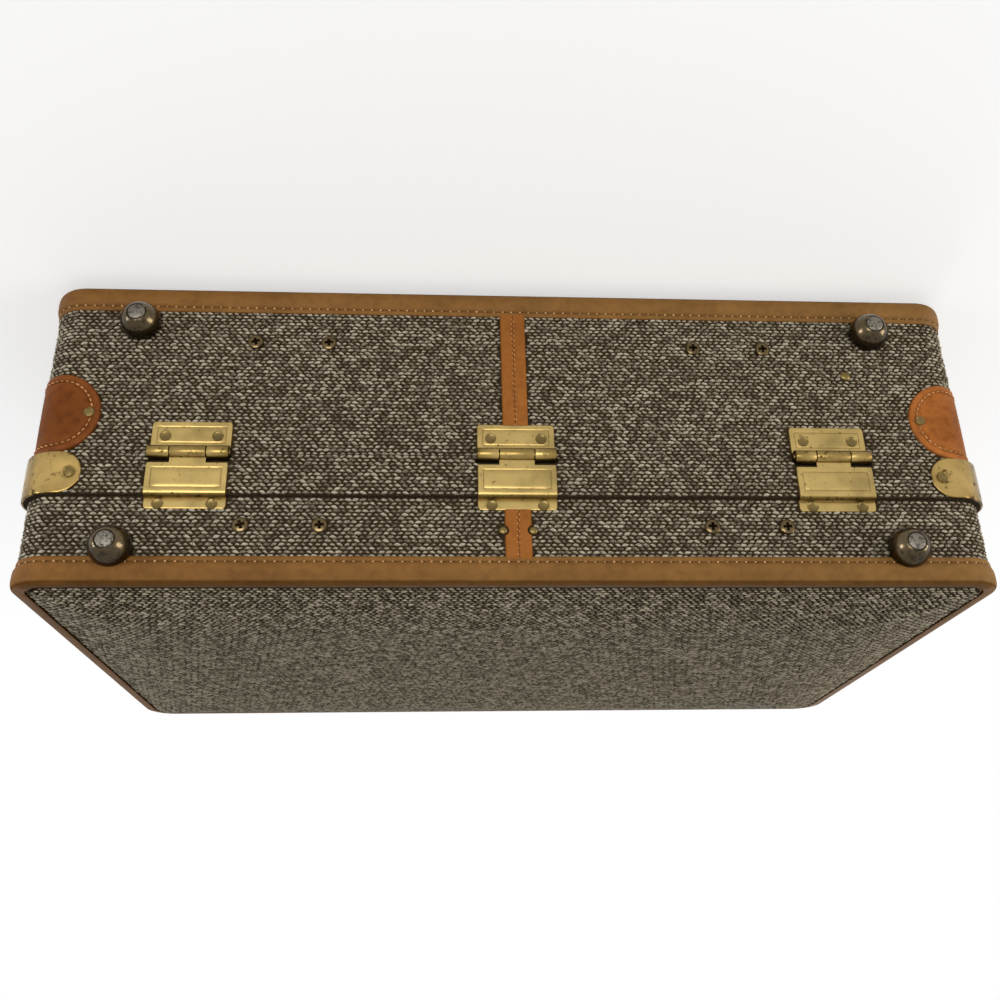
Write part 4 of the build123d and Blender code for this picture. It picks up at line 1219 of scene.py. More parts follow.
def corner_patches(tall, reach, middle_z, lift, back_lift):
    """D-ended pieces bent round the corners; lift gives their surface from (inside, s, z)."""
    skin, radius = Skin(), tall / 2
    straight = d_distance(max(reach - radius, CORNER_START))
    turns = [math.radians(a) for a in (0, 8, 16, 24, 32, 40, 48, 56, 63, 70, 76, 81, 85, 88, 90)]
    sides = [straight * k / 9 for k in range(9)]
    sides += [d_distance(reach - radius + radius * math.sin(turn)) for turn in turns]
    shares = [math.sin(math.radians(a)) for a in range(-90, 91, 6)]
    for middle in corner_distances():
        front, back = [], []
        for s in mirrored(sides):
            from_end = d_place(s)
            past = from_end - (reach - radius)
            half = radius if past <= 0 else math.sqrt(max(0.0, radius**2 - past**2))
            levels = [half * share for share in shares]
            lifts = [lift(max(0.0, d_inside(from_end, z, tall, reach)), s, z) for z in levels]
            front.append([out_point(middle + s, out, middle_z + z) for out, z in zip(lifts, levels)])
            back.append([out_point(middle + s, back_lift, middle_z + z) for z in levels])
        skin.slab(front, back)
    return skin


def leather_lift(inside, s, z):
    """The moulded leather corner: soft edge, stitch trench, fuller middle."""
    trench = 0.28 * bell(inside - LEATHER_STITCH_IN, 0.8)
    return rounded(inside, LEATHER_THICK, 1.3) - trench + 0.25 * (1 - math.exp(-inside / 7))


def from_end_of(x, y):
    """How far a point on a wall lies from the end plane of that wall."""
    return max(WALL_X - abs(x), WALL_Y - abs(y))


def leather_soil_and_shade(x, y, z):
    """Colour of a leather corner: painted shade in the stitch trench, darker at the rim, deeper in the middle."""
    inside = max(0.0, d_inside(from_end_of(x, y), z - LEATHER_MID, LEATHER_TALL, LEATHER_REACH))
    trench = 0.5 * bell(inside - LEATHER_STITCH_IN, 0.7)
    return trench + 0.45 * bell(inside, 0.5) + 0.22 * (1 - bell(inside, 9.0))


def guard_tarnish_and_shade(x, y, z):
    """Painted shade with a little tarnish on a guard: darker round its rivets' dimples, along its edge and where
    it bends.
    """
    from_end = from_end_of(x, y)
    inside = max(0.0, d_inside(from_end, z - BAND_MID, BAND_TALL, GUARD_REACH))
    away = math.hypot(from_end - GUARD_REACH + GUARD_RIVET_IN, z - BAND_MID)
    bend = 0.3 * bell(from_end - 3.5, 2.0)
    return min(1.0, 0.1 * bell(inside, 6.0) + 0.45 * bell(away - 3.2, 0.7) + 0.4 * bell(inside, 0.5) + bend)


def guard_lift(inside, s, z):
    """The brass guard: thin edge, a dimple round each rivet."""
    away = math.hypot(abs(s) - d_distance(GUARD_REACH - GUARD_RIVET_IN), z)
    rise = rounded(inside, GUARD_THICK, 0.5) - 0.55 * bell(away, 5.0)
    return BAND_PROUD + rise + 0.12 * (1 - math.exp(-inside / 3))


def tongue_seam(middle, side):
    """The stitch line of one tongue of a leather corner: along its top, round its D and back."""
    radius = LEATHER_TALL / 2 - LEATHER_STITCH_IN
    centre = LEATHER_REACH - LEATHER_TALL / 2
    limit = d_distance(max(centre, CORNER_START))
    turns = [math.radians(a) for a in range(10, 180, 10)]
    path = [(limit * k / 6, radius) for k in range(7)]
    path += [(d_distance(centre + radius * math.sin(turn)), radius * math.cos(turn)) for turn in turns]
    path += [(limit * (6 - k) / 6, -radius) for k in range(7)]
    return [seam_point(middle + side * s, LEATHER_THICK + 0.1, LEATHER_MID + z) for s, z in path]


class SUITCASE_OT_corners(bpy.types.Operator):
    """Moulds the stitched leather corners of the deep half"""

    bl_idname = "suitcase.corners"
    bl_label = "Leather Corners"

    def execute(self, context):
        skin = corner_patches(LEATHER_TALL, LEATHER_REACH, LEATHER_MID, leather_lift, -0.3)
        place = ("base", "tan_leather", "base_corner_leathers")
        new_piece("leather_corners", skin, "Saddle leather, moulded", place, leather_soil_and_shade)
        seams = [tongue_seam(middle, side) for middle in corner_distances() for side in (1, -1)]
        stitched_seams("leather_corner_stitches", seams, ("base", "tan_leather"), 11)
        return {"FINISHED"}


class SUITCASE_OT_guards(bpy.types.Operator):
    """Presses the brass guards round the corners of the lid's band"""

    bl_idname = "suitcase.guards"
    bl_label = "Brass Corner Guards"

    def execute(self, context):
        skin = corner_patches(BAND_TALL, GUARD_REACH, BAND_MID, guard_lift, BAND_PROUD - 0.2)
        place = ("lid", "brass", "lid_corner_guards")
        new_piece("brass_corner_guards", skin, "Brass, worn", place, guard_tarnish_and_shade)
        return {"FINISHED"}


# Hinges.

# Shares of a leaf's half width, close together at its frame line and edges.
LEAF_PLACES = [0, 3, 6, 9, 9.9, 12, 15]
LEAF_PLACES += [LEAF_WIDTH / 2 - v for v in (3.75, FRAME_IN, 2.85, 1.6, 0.8, 0.35, 0.1, 0)]
LEAF_COLUMNS = mirrored([place / (LEAF_WIDTH / 2) for place in LEAF_PLACES])
# The rows of the base leaf from its lower end, and of the lid's leaf as (lift, height).
BASE_LEAF_ROWS = [0, 0.1, 0.35, 0.8, 1.5, 2.2, 2.85, 3.3, 3.75, 5.5, 7.5, 9.5, 11.5, 12.35, 12.8]
BASE_LEAF_ROWS += [13.25, 14.2, 17.0]
LID_LEAF_PATH = [
    (4.7, 120.7), (4.7, 120.8), (4.7, 121.05), (4.7, 121.5), (4.7, 123.0), (4.7, 123.55), (4.7, 124.0),
    (4.7, 124.45), (4.7, 127.0), (4.7, 130.0), (4.7, 133.0), (4.7, 134.75), (4.7, 135.2), (4.7, 135.65),
    (4.7, 137.4), (4.55, 138.4), (4.1, 139.2), (3.2, 139.9), (1.5, 140.2), (1.05, 140.6), (1.2, 141.2),
    (1.2, 143.0), (1.2, 144.6), (1.2, 145.4), (1.2, 145.9), (1.2, 146.25), (1.2, 146.5),
]
RIVET_PROFILE = [
    (3.15, -0.2), (3.15, 0.3), (3.0, 0.5), (2.85, 0.52), (2.7, 0.42), (2.4, 0.3), (1.6, 0.14),
    (0.8, 0.06), (0.02, 0.04),
]


def leaf_half(from_end):
    """Half of a leaf's width near its rounded end corners."""
    return LEAF_WIDTH / 2 - LEAF_CORNER + rounded(from_end, LEAF_CORNER, LEAF_CORNER)


def frame_groove(x, along, high):
    """The depth of the incised frame line on a leaf."""
    off_x, off_z = abs(x) - LEAF_WIDTH / 2 + FRAME_IN, max(FRAME_IN - along, along - high)
    return 0.2 * max(0.0, 1 - abs(max(off_x, off_z)) / 0.45)


def barrel(skin, x, half, seam):
    """One knuckle: a rolled tube with broken ends, and a seam line where the roll closes."""
    angles = [math.radians(a) for a in range(0, 360, 12)] + [math.radians(seam + d) for d in (-4, 0, 4)]
    angles = sorted(a % math.tau for a in angles)
    ends = [(half, 0.45), (half - 0.15, 0.15), (half - 0.45, 0)]
    rings = []
    for offset, cut in [(-offset, cut) for offset, cut in ends] + ends[::-1]:
        ring = []
        for angle in angles:
            radius = KNUCKLE - cut - (0.35 if abs(math.degrees(angle) - seam % 360) < 1 else 0.0)
            out, up = radius * math.cos(angle), radius * math.sin(angle)
            ring.append((x + offset, WALL_Y + AXIS_LIFT + out, AXIS_Z + up))
        rings.append(ring)
    skin.tube(rings)


def pin_end(skin, x, way):
    """The staked end of the hinge pin."""
    profile = [(1.6, -1.0), (1.6, 0.1), (1.3, 0.35), (0.6, 0.45), (0.05, 0.46)]
    skin.turned(profile, 18, lambda a, b, h: (x + way * h, WALL_Y + AXIS_LIFT + a, AXIS_Z + b))


def base_leaf(x):
    """The plate of the base leaf and its two rolled knuckles."""
    front, back = [], []
    for along in BASE_LEAF_ROWS:
        wide, z = leaf_half(along), BASE_LEAF_LOW + along
        line = []
        for across in [share * wide for share in LEAF_COLUMNS]:
            edge = rounded(min(along, wide - abs(across)), LEAF, 0.4)
            lift = edge - frame_groove(across, along, BASE_FRAME_HIGH)
            line.append((x + across, WALL_Y + max(lift, 0.05), z))
        front.append(line)
        back.append([(at, WALL_Y - 0.2, z) for at, _, _ in line])
    skin = Skin().slab(front, back)
    gap = KNUCKLE_SHARE / 2 + 0.25
    half = (LEAF_WIDTH / 2 - gap) / 2
    for side in SIDES:
        barrel(skin, x + side * (gap + half), half, 250)
        pin_end(skin, x + side * LEAF_WIDTH / 2, side)
    return skin


def lid_leaf(x):
    """The lid's leaf, formed over the band, with its middle knuckle."""
    length = LID_LEAF_HIGH - PANEL_LOW
    front, back = [], []
    for lift, z in LID_LEAF_PATH:
        along = z - PANEL_LOW
        from_end = min(along, length - along)
        wide = leaf_half(from_end if along > length / 2 else along + 0.6)
        line = []
        for across in [share * wide for share in LEAF_COLUMNS]:
            edge = LEAF - rounded(min(from_end, wide - abs(across)), LEAF, 0.4)
            cut = edge + frame_groove(across, along, LID_FRAME_HIGH)
            line.append((x + across, WALL_Y + lift - min(cut, LEAF - 0.05), z))
        front.append(line)
        back.append([(at, WALL_Y + max(lift - LEAF, 0.0) - 0.01, z) for at, _, _ in line])
    skin = Skin().slab(front, back)
    half = KNUCKLE_SHARE / 2
    tab = [
        [[(x + side * half, WALL_Y + lift, z) for side in SIDES] for z in (AXIS_Z, PANEL_LOW + 0.8)]
        for lift in (PANEL_LIFT, PANEL_LIFT - LEAF)
    ]
    skin.slab(*tab)
    barrel(skin, x, half, 70)
    return skin


def hinge_tarnish_and_shade(middle):
    """Tarnish and painted shade on a hinge: painted shade in its frame lines, at its knuckles' ends and on the
    outer knuckles' upper side, painted shadows at its step and under its knuckles, and tarnish along the
    knuckles' lower side.
    """

    def soil(x, y, z):
        across, lift = abs(x - middle), y - WALL_Y
        turn = math.degrees(math.atan2(z - AXIS_Z, lift - AXIS_LIFT))
        if z > PANEL_LOW - 1.5:
            groove = frame_groove(across, z - PANEL_LOW, LID_FRAME_HIGH)
            # Painted shade in the frame lines and a painted shadow at the step.
            dirt_and_shade = 2.1 * groove + 0.8 * bell(z - 139.5, 0.8)
        elif math.hypot(z - AXIS_Z, lift - AXIS_LIFT) > KNUCKLE - 1.0 and z > AXIS_Z - 4.5:
            outer = across > KNUCKLE_SHARE / 2 + 0.2
            ends = bell(across - KNUCKLE_SHARE / 2, 0.5) + bell(across - LEAF_WIDTH / 2, 0.6)
            # Tarnish along all knuckles' lower side; painted shade on the outer knuckles' upper side and at the
            # knuckles' ends.
            dirt_and_shade = 0.6 * bell(turn + 65, 16) + (0.5 * bell(turn - 70, 12) if outer else 0.0) + 0.8 * ends
        else:
            groove = frame_groove(across, z - BASE_LEAF_LOW, BASE_FRAME_HIGH)
            # Painted shade in the frame lines and a painted shadow just under the knuckles.
            dirt_and_shade = 2.1 * groove + 0.5 * bell(z - AXIS_Z + 4.0, 1.0)
        return min(1.0, dirt_and_shade)

    return soil


class SUITCASE_OT_hinges(bpy.types.Operator):
    """Forms the three hinges with their rolled knuckles, frame lines and rivets"""

    bl_idname = "suitcase.hinges"
    bl_label = "Hinges"

    def execute(self, context):
        for name, x in zip(("left", "centre", "right"), HINGE_XS):
            for half, make in zip(HALVES, (base_leaf, lid_leaf)):
                place = (half, "brass", f"hinge_{name}_{half}_leaf")
                new_piece(f"hinge_{name}_{half}_plate", make(x), BRASS, place, hinge_tarnish_and_shade(x))
        head = turned_shape("Hinge rivet", RIVET_PROFILE, 24)
        for half, z in (("base", BASE_RIVET_Z), ("lid", LID_RIVET_Z)):
            spots = wall_spots(REAR, pairs(HINGE_XS, HINGE_RIVET_SPREAD), z, LEAF)
            place = (half, "brass", f"hinge_{half}_rivets")
            pieces_on_spots(f"hinge_{half}_rivet_heads", spots, head, AGED, place)
        bpy.data.objects.remove(head)
        return {"FINISHED"}


# Glides and fasteners: turned profiles as (radius, height), the last two for a radius of 1.

FOOT_PROFILE = [
    (10.5, -0.3), (10.7, 0.2), (11.1, 1.4), (11.3, 2.9), (11.25, 4.6), (10.85, 6.5), (10.1, 8.4), (9.1, 10.1),
    (7.9, 11.6), (6.7, 12.7), (5.8, 13.35), (5.35, 13.5), (5.05, 13.3), (4.9, 12.9), (0.02, 12.9),
]
STUD_PROFILE = [
    (4.8, 12.6), (4.8, 13.2), (4.65, 13.6), (4.3, 13.85), (3.3, 14.15), (2.0, 14.37), (1.0, 14.46),
    (0.02, 14.5),
]
DOME_PROFILE = [(1.0, -0.1), (1.0, 0.02), (0.96, 0.1), (0.84, 0.2), (0.62, 0.29), (0.35, 0.345), (0.02, 0.36)]
FLAT_PROFILE = [
    (1.0, -0.1), (1.0, 0.1), (0.95, 0.18), (0.84, 0.2), (0.76, 0.12), (0.66, 0.14), (0.3, 0.18), (0.02, 0.19),
]


def glide_painted_shade(x, y, z):
    """Painted shade on a glide: where it meets the tweed, in the groove round its stud, and a painted dark
    reflection on its side towards +Z.
    """
    return min(1.0, 0.2 * bell(z, 4.0) + 0.5 * bell(y + 11.0, 8.5) + 0.5 * bell(math.hypot(x, y) - 5.0, 0.5))


def cross_head():
    """A domed cross-head screw."""
    rings = []
    for radius in (SCREW_RADIUS, 4.4, 4.1, 3.6, 3.0, 2.5, 2.35, 2.1, 1.7, 1.3, 0.95, 0.62, 0.3, 0.01):
        ring = []
        for angle in circle(48):
            x, y = radius * math.cos(angle), radius * math.sin(angle)
            height = 1.25 * math.sqrt(max(0.0, 1 - (radius / 4.62) ** 2))
            narrow, far = min(abs(x), abs(y)), max(abs(x), abs(y))
            if narrow < 0.62 and far < 2.35:
                height -= 0.95 * (1 - 0.55 * far / 2.35)
            ring.append((x, y, height))
        rings.append(ring)
    foot = [(x, y, -0.2) for x, y, _ in rings[0]]

    # Painted shade: black in the cross's slots and a dark ring round the head's rim.
    def soil(x, y, z):
        cross = min(abs(x), abs(y)) < 0.75 and max(abs(x), abs(y)) < 2.4
        return 1.0 if cross else 0.9 * bell(math.hypot(x, y) - SCREW_RADIUS, 0.5)

    return new_piece("Cross-head screw", Skin().tube([foot] + rings), "Bronze plate, rubbed", soil=soil)


def corner_spots(reach, z, lift):
    """Both tongues' rivets at all four corners."""
    spots = []
    for side in (REAR, FRONT):
        spots += wall_spots(side, pairs((0.0,), WALL_X - reach), z, lift)
    ends = [(side, end) for side in SIDES for end in SIDES]
    return spots + [((s * (WALL_X + lift), e * (WALL_Y - reach), z), (s, 0, 0), (0, 1, 0)) for s, e in ends]


class SUITCASE_OT_fasteners(bpy.types.Operator):
    """Sets the glides, studs, cross-head screws and rivets on the outside"""

    bl_idname = "suitcase.fasteners"
    bl_label = "Glides and Fasteners"

    def execute(self, context):
        foot = turned_shape("Glide", FOOT_PROFILE, 48, soil=glide_painted_shade)
        stud = turned_shape("Stud", STUD_PROFILE, 36)
        screw = cross_head()
        for half, foot_z, screw_z in (("base", BASE_FOOT_Z, BASE_SCREW_Z), ("lid", LID_FOOT_Z, LID_SCREW_Z)):
            feet = wall_spots(REAR, pairs((0.0,), FOOT_X), foot_z, 0)
            place = (half, "bronze", f"{half}_feet")
            pieces_on_spots(f"{half}_glides", feet, foot, "Bronze plate, oxidised", place)
            place = (half, "steel", f"{half}_foot_studs")
            pieces_on_spots(f"{half}_glide_studs", feet, stud, "Tin plate, mottled", place)
            screws = wall_spots(REAR, [side * x for x in SCREW_XS for side in SIDES], screw_z, HEAD_LIFT)
            place = (half, "bronze", f"{half}_frame_screws")
            look = "Bronze plate, rubbed"
            pieces_on_spots(f"{half}_screw_heads", screws, screw, look, place, turn=math.pi, seed=5)
        flat = turned_shape("Corner rivet", FLAT_PROFILE, 28, 2.9)
        spots = corner_spots(LEATHER_REACH - LEATHER_RIVET_IN, LEATHER_MID, LEATHER_THICK + 0.15)
        pieces_on_spots("leather_corner_rivets", spots, flat, AGED, ("base", "brass", "base_corner_rivets"))
        spots = corner_spots(GUARD_REACH - GUARD_RIVET_IN, BAND_MID, BAND_PROUD + GUARD_THICK - 0.25)
        pieces_on_spots("guard_rivets", spots, flat, AGED, ("lid", "brass", "lid_corner_rivets"))
        plug = turned_shape("Plug", DOME_PROFILE, 28, 2.9)
        spots = wall_spots(REAR, [PLUG_X], PLUG_Z, HEAD_LIFT)
        pieces_on_spots("wall_plug_head", spots, plug, AGED, ("base", "brass", "base_wall_plug"))
        small = turned_shape("Strap rivet", DOME_PROFILE, 24, 2.2)
        spots = wall_spots(REAR, pairs((0.0,), STRAP_NOTCH_X), STRAP_NOTCH_Z, HEAD_LIFT)
        pieces_on_spots("strap_rivet_heads", spots, small, AGED, ("lid", "brass", "lid_strap_rivets"))
        for shape in (foot, stud, screw, flat, plug, small):
            bpy.data.objects.remove(shape)
        return {"FINISHED"}


# Latches and handle.


class SUITCASE_OT_latches(bpy.types.Operator):
    """Finishes the two sprung latches on the handle wall"""

    bl_idname = "suitcase.latches"
    bl_label = "Latches"

    def execute(self, context):
        for side in ("left", "right"):
            softened_copy(f"latch_{side}_case", 0.35, "base")
            softened_copy(f"latch_{side}_slider", 0.2, f"slider_{side}")
            softened_copy(f"latch_{side}_hasp", 0.3, f"hasp_{side}")
        softened_copy("latch_lid_plates", 0.25, "lid")
        head = turned_shape("Latch rivet", DOME_PROFILE, 24, 2.0)
        middles = (-LATCH_X, LATCH_X)
        spots = wall_spots(FRONT, pairs(middles, LATCH_RIVET_X), LATCH_Z, LEAF)
        pieces_on_spots("latch_case_rivet_heads", spots, head, AGED, ("base", "brass", "latch_case_rivets"))
        spots = wall_spots(FRONT, pairs(middles, PLATE_RIVET_X), PLATE_RIVET_Z, BAND_PROUD + LEAF)
        pieces_on_spots("latch_plate_rivet_heads", spots, head, AGED, ("lid", "brass", "latch_plate_rivets"))
        bpy.data.objects.remove(head)
        return {"FINISHED"}


# The section of the eye at each end of the bow, as (radius, place along the pin).
EYE_PROFILE = [(2.2, -3.0), (4.6, -3.0), (4.95, -2.6), (4.95, 2.6), (4.6, 3.0), (2.2, 3.0)]


def squared(angle, power):
    """The cosine and sine of an angle, squared off by a power below 1."""
    return [math.copysign(abs(v) ** power, v) for v in (math.cos(angle), math.sin(angle))]


def bow_path():
    """The middle line of the handle's bow, from one pin to the other, with the way it runs."""
    low, inner = HANDLE_Z - HANDLE_DROP, HANDLE_X - HANDLE_BEND
    path = [(-HANDLE_X, HANDLE_Z - k * 4.0, -90) for k in range(int((HANDLE_DROP - HANDLE_BEND) / 4) + 1)]
    for turn in range(0, 100, 10):
        across, up = (HANDLE_BEND * part(math.radians(180 + turn)) for part in (math.cos, math.sin))
        path.append((-inner + across, low + HANDLE_BEND + up, turn - 90))
    return path + [(-x, z, -way) for x, z, way in reversed(path)]


def grip_scale(x):
    """How full the grip is along its length: fullest in its middle, drawn in at its ends."""
    return 1.0 - 0.3 * (abs(x) / GRIP_HALF) ** 3.2


class SUITCASE_OT_handle(bpy.types.Operator):
    """Bends the handle's steel bow and stitches the padded leather grip on it"""

    bl_idname = "suitcase.handle"
    bl_label = "Handle"

    def execute(self, context):
        middle_y = -(WALL_Y + HANDLE_LIFT)
        rings = []
        for x, z, way in bow_path():
            across, up = -math.sin(math.radians(way)), math.cos(math.radians(way))
            section = [squared(angle, 0.6) for angle in circle(16)]
            rings.append([(x + across * a * 3.0, middle_y - b * 2.0, z + up * a * 3.0) for a, b in section])
        skin = Skin().tube(rings)
        for side in SIDES:
            rings = []
            for radius, h in EYE_PROFILE:
                x, turns = side * HANDLE_X + h, [(radius * math.cos(a), radius * math.sin(a)) for a in circle(32)]
                rings.append([(x, middle_y - out, HANDLE_Z + up) for out, up in turns])
            skin.ring(rings)
        new_piece("handle_bow", skin, "Steel, nickel-plated", ("handle", "steel", "handle_core"))
        self.grip(HANDLE_Z - HANDLE_DROP, middle_y)
        softened_copy("handle_brackets", 0.35, "base")
        head = turned_shape("Bracket rivet", DOME_PROFILE, 24, 2.0)
        spots = wall_spots(FRONT, pairs((-HANDLE_X, HANDLE_X), BRACKET_RIVET_X), HANDLE_Z, BRACKET_THICK)
        pieces_on_spots("handle_rivet_heads", spots, head, AGED, ("base", "brass", "handle_rivets"))
        bpy.data.objects.remove(head)
        return {"FINISHED"}

    def grip(self, low, middle_y):
        """The leather grip: a stuffed roll with a raised seam along its underside."""
        ends = (0.0, 0.25, 0.9, 1.8)
        xs = [e - GRIP_HALF for e in ends] + heights(3.4 - GRIP_HALF, GRIP_HALF - 3.4, 2.025)
        xs += [GRIP_HALF - e for e in reversed(ends)]
        rings = []
        for x in xs:
            full = grip_scale(x) * (0.86 + rounded(GRIP_HALF - abs(x), 0.14, 2.2))
            ring = []
            for angle in circle(40):
                a, b = squared(angle, 0.82)
                up = b * GRIP_TALL / 2 * full + 0.5 * bell(math.degrees(angle) - 270, 8)
                ring.append((x, middle_y + a * GRIP_THICK / 2 * full, low + up))
            rings.append(ring)
        place = ("handle", "tan_leather", "handle_grip")
        grip = new_piece("handle_leather_grip", Skin().tube(rings), BRIDLE, place)
        seams = []
        for side in SIDES:
            angle = math.radians(270 + side * 26)
            facing = (0.0, math.cos(angle), math.sin(angle))
            seam = []
            a, b = squared(angle, 0.82)
            for x in heights(4 - GRIP_HALF, GRIP_HALF - 4, 4):
                out, up = a * GRIP_THICK / 2 * grip_scale(x), b * GRIP_TALL / 2 * grip_scale(x)
                seam.append(((x, middle_y + out * 1.01, low + up * 1.01), facing))
            seams.append(seam)
        stitched_seams("handle_grip_stitches", seams, ("handle", "tan_leather"), 13)


# Shell and inside.


def inner_ring(inset, share):
    """Points round the inside of the case at an inset, with its corners cut, drawn in by a share."""
    half_x, half_y, cut = WALL_X - inset, WALL_Y - inset, FACE_CORNER
    corners = [(half_x, cut - half_y), (half_x, half_y - cut), (half_x - cut, half_y), (cut - half_x, half_y)]
    corners += [(-x, -y) for x, y in corners]
    ring = []
    for index, (x, y) in enumerate(corners):
        next_x, next_y = corners[(index + 1) % 8]
        count = 2 if index % 2 else (26 if index % 4 == 0 else 44)
        ring += [(x + (next_x - x) * k / count, y + (next_y - y) * k / count) for k in range(count)]
    return [(x * share, y * share) for x, y in ring]


def lining_bowl(rim_z, top):
    """The satin over the inside of one half: its boards' face and its walls, as one thin bowl."""
    shares = [0.02, 0.2, 0.4, 0.55, 0.65, 0.72, 0.78, 0.83, 0.87, 0.91, 0.94, 0.97, 0.99, 1.0]
    rings = []
    for inset, depth in ((FACE_INSET + LINING, TWEED + BOARD + LINING), (FACE_INSET, TWEED + BOARD)):
        outlines = [inner_ring(inset, share) for share in shares]
        skin = [[(x, y, face_height(x, y, depth, top)) for x, y in outline] for outline in outlines]
        foot = skin[-1]
        skin += [[(x, y, z + (rim_z - z) * k / 8) for x, y, z in foot] for k in range(1, 9)]
        rings += skin if inset > FACE_INSET else skin[::-1]
    return Skin().tube(rings)


class SUITCASE_OT_shell(bpy.types.Operator):
    """Finishes the plywood shell and the rim, and lines both halves with satin"""

    bl_idname = "suitcase.shell"
    bl_label = "Shell and Lining"

    def execute(self, context):
        for half in HALVES:
            dress_node(f"{half}_wall_frame", "Birch plywood")
            dress_node(f"{half}_face_panel", "Birch plywood")
            low, high = (corner[2] for corner in node_corners(f"{half}_lining"))
            rim_z = high if half == "base" else low
            place = (half, "lining", f"{half}_lining")
            skin = lining_bowl(rim_z, half == "lid")
            piece = new_piece(f"{half}_lining_satin", skin, "Lining satin, woven", place)
        dress_node("base_rim", "Aluminium, drawn")
        return {"FINISHED"}


PACKING_COLUMNS = mirrored([0, 0.35, 0.7, 0.76, 0.82, 0.92, 0.97, 1])


def packing_strap(skin, middle):
    """One packing strap over the floor of the deep half, with rounded ends."""
    front, back = [], []
    ends = [0.0, 0.3, 0.8, 1.6, 2.8, 4.5, 6.5, 9.0, 12.5]
    rows = [e - PACKING_HALF for e in ends] + heights(18 - PACKING_HALF, PACKING_HALF - 18, 6.0)
    for y in rows + [PACKING_HALF - e for e in reversed(ends)]:
        from_end = PACKING_HALF - abs(y)
        half = PACKING_WIDTH / 2
        if from_end < half:
            half = math.sqrt(max(0.01, half**2 - (half - from_end) ** 2))
        line, under = [], []
        for across in [share * half for share in PACKING_COLUMNS]:
            x, inside = middle + across, half - abs(across)
            lift = rounded(min(from_end, inside), PACKING_THICK, 0.8) - 0.2 * bell(inside - 3.0, 0.6)
            line.append((x, y, face_height(x, y, PACKING_DEPTH + 0.05 + max(lift, 0.02), False)))
            under.append((x, y, face_height(x, y, PACKING_DEPTH, False)))
        front.append(line)
        back.append(under)
    skin.slab(front, back)


class SUITCASE_OT_inside(bpy.types.Operator):
    """Makes the packing straps, their buckles and the lid's gathered pocket"""

    bl_idname = "suitcase.inside"
    bl_label = "Inside"

    def execute(self, context):
        skin, seams = Skin(), []
        ys = heights(14 - PACKING_HALF, PACKING_HALF - 14, 6.0)
        for side in SIDES:
            packing_strap(skin, side * PACKING_X)
            for x in pairs((side * PACKING_X,), PACKING_WIDTH / 2 - 3.0):
                depth = PACKING_DEPTH + PACKING_THICK - 0.1
                seams.append([((x, y, face_height(x, y, depth, False)), (0.0, 0.0, 1.0)) for y in ys])
        new_piece("packing_straps_leather", skin, BRIDLE, ("base", "tan_leather", "packing_straps"))
        stitched_seams("packing_strap_stitches", seams, ("base", "tan_leather"), 17)
        softened_copy("packing_buckles", 0.4, "base")
        self.pocket(context.scene.suitcase_inside.gathers)
        return {"FINISHED"}

    def pocket(self, gathers):
        """The gathered satin pocket: full folds under its elastic hem, sewn down on three sides."""
        low, high = node_corners("lid_pocket")
        half, hem_y, tall = high[0], low[1], high[1] - low[1]
        columns = gathers * 8
        rows = [0.0, 2.0, 4.0, 6.0, 7.5, 8.5, 9.5, 12.0, 14.5, 16.0, 17.5, 21.0, 28.0]
        rows += heights(36.0, tall - 10, 10.0) + [tall - 5, tall - 2, tall]
        grid = []
        for row in rows:
            y = hem_y + row
            # The elastic runs in a casing between two rows of stitches.
            casing = min(1.0, bell(row - 8.5, 1.2) + bell(row - 16.0, 1.2))
            fold = (2.3 * bell(row - 12.0, 40.0) + 0.6) * (1 - 0.65 * casing)
            stand = 1.0 + 2.6 * math.sin(math.pi * min(1.0, row / tall) ** 0.7) - 0.8 * casing
            stand *= min(1.0, (tall - row) / 12 + 0.15)
            line = []
            for k in range(columns + 1):
                x = half * (2 * k / columns - 1)
                side = min(1.0, (half - abs(x)) / 12 + 0.1)
                wave = math.sin(math.tau * k / 8 + 0.6 * math.sin(x / 23 + row / 60)) * 0.5 + 0.5
                rise = 0.35 + side * (stand + fold * wave * (1 + 0.25 * math.sin(x / 31)))
                line.append((x, y, face_height(x, y, PACKING_DEPTH + rise, True)))
            grid.append(line)
        skin = Skin()
        skin.grid(grid)
        piece = new_piece("lid_pocket_satin", skin, "Pocket satin, woven")
        if piece.data.polygons[0].normal.z > 0:
            piece.data.flip_normals()
        thick = piece.modifiers.new("Cloth thickness", "SOLIDIFY")
        thick.thickness = 0.4 * MM
        thick.offset = 0.0
        settle(piece, "lid", "lining", "lid_pocket")


# Stage: places in metres.


def white_to_the_eye(add, plain, white):
    """A strength that is white where the camera, a mirror or glass sees it, and plain elsewhere."""
    rays = add("ShaderNodeLightPath").outputs
    seen = add("ShaderNodeMath", {0: rays["Is Camera Ray"], 1: rays["Is Glossy Ray"]}, operation="MAXIMUM")
    seen = add("ShaderNodeMath", {0: seen, 1: rays["Is Transmission Ray"]}, operation="MAXIMUM")
    return add("ShaderNodeMapRange", {"Value": seen, "To Min": plain, "To Max": white})


def add_lamp(name, place, size, watts, colour):
    """A square soft lamp that faces the middle of the case."""
    lamp = bpy.data.lights.new(name, "AREA")
    lamp.shape = "SQUARE"
    lamp.size = size
    lamp.energy = watts
    lamp.color = linear_colour(colour)
    holder = add_object(name, lamp)
    holder.location = place
    holder.rotation_mode = "QUATERNION"
    holder.rotation_quaternion = (Vector((0.0, 0.0, 0.1)) - Vector(place)).to_track_quat("-Z", "Y")


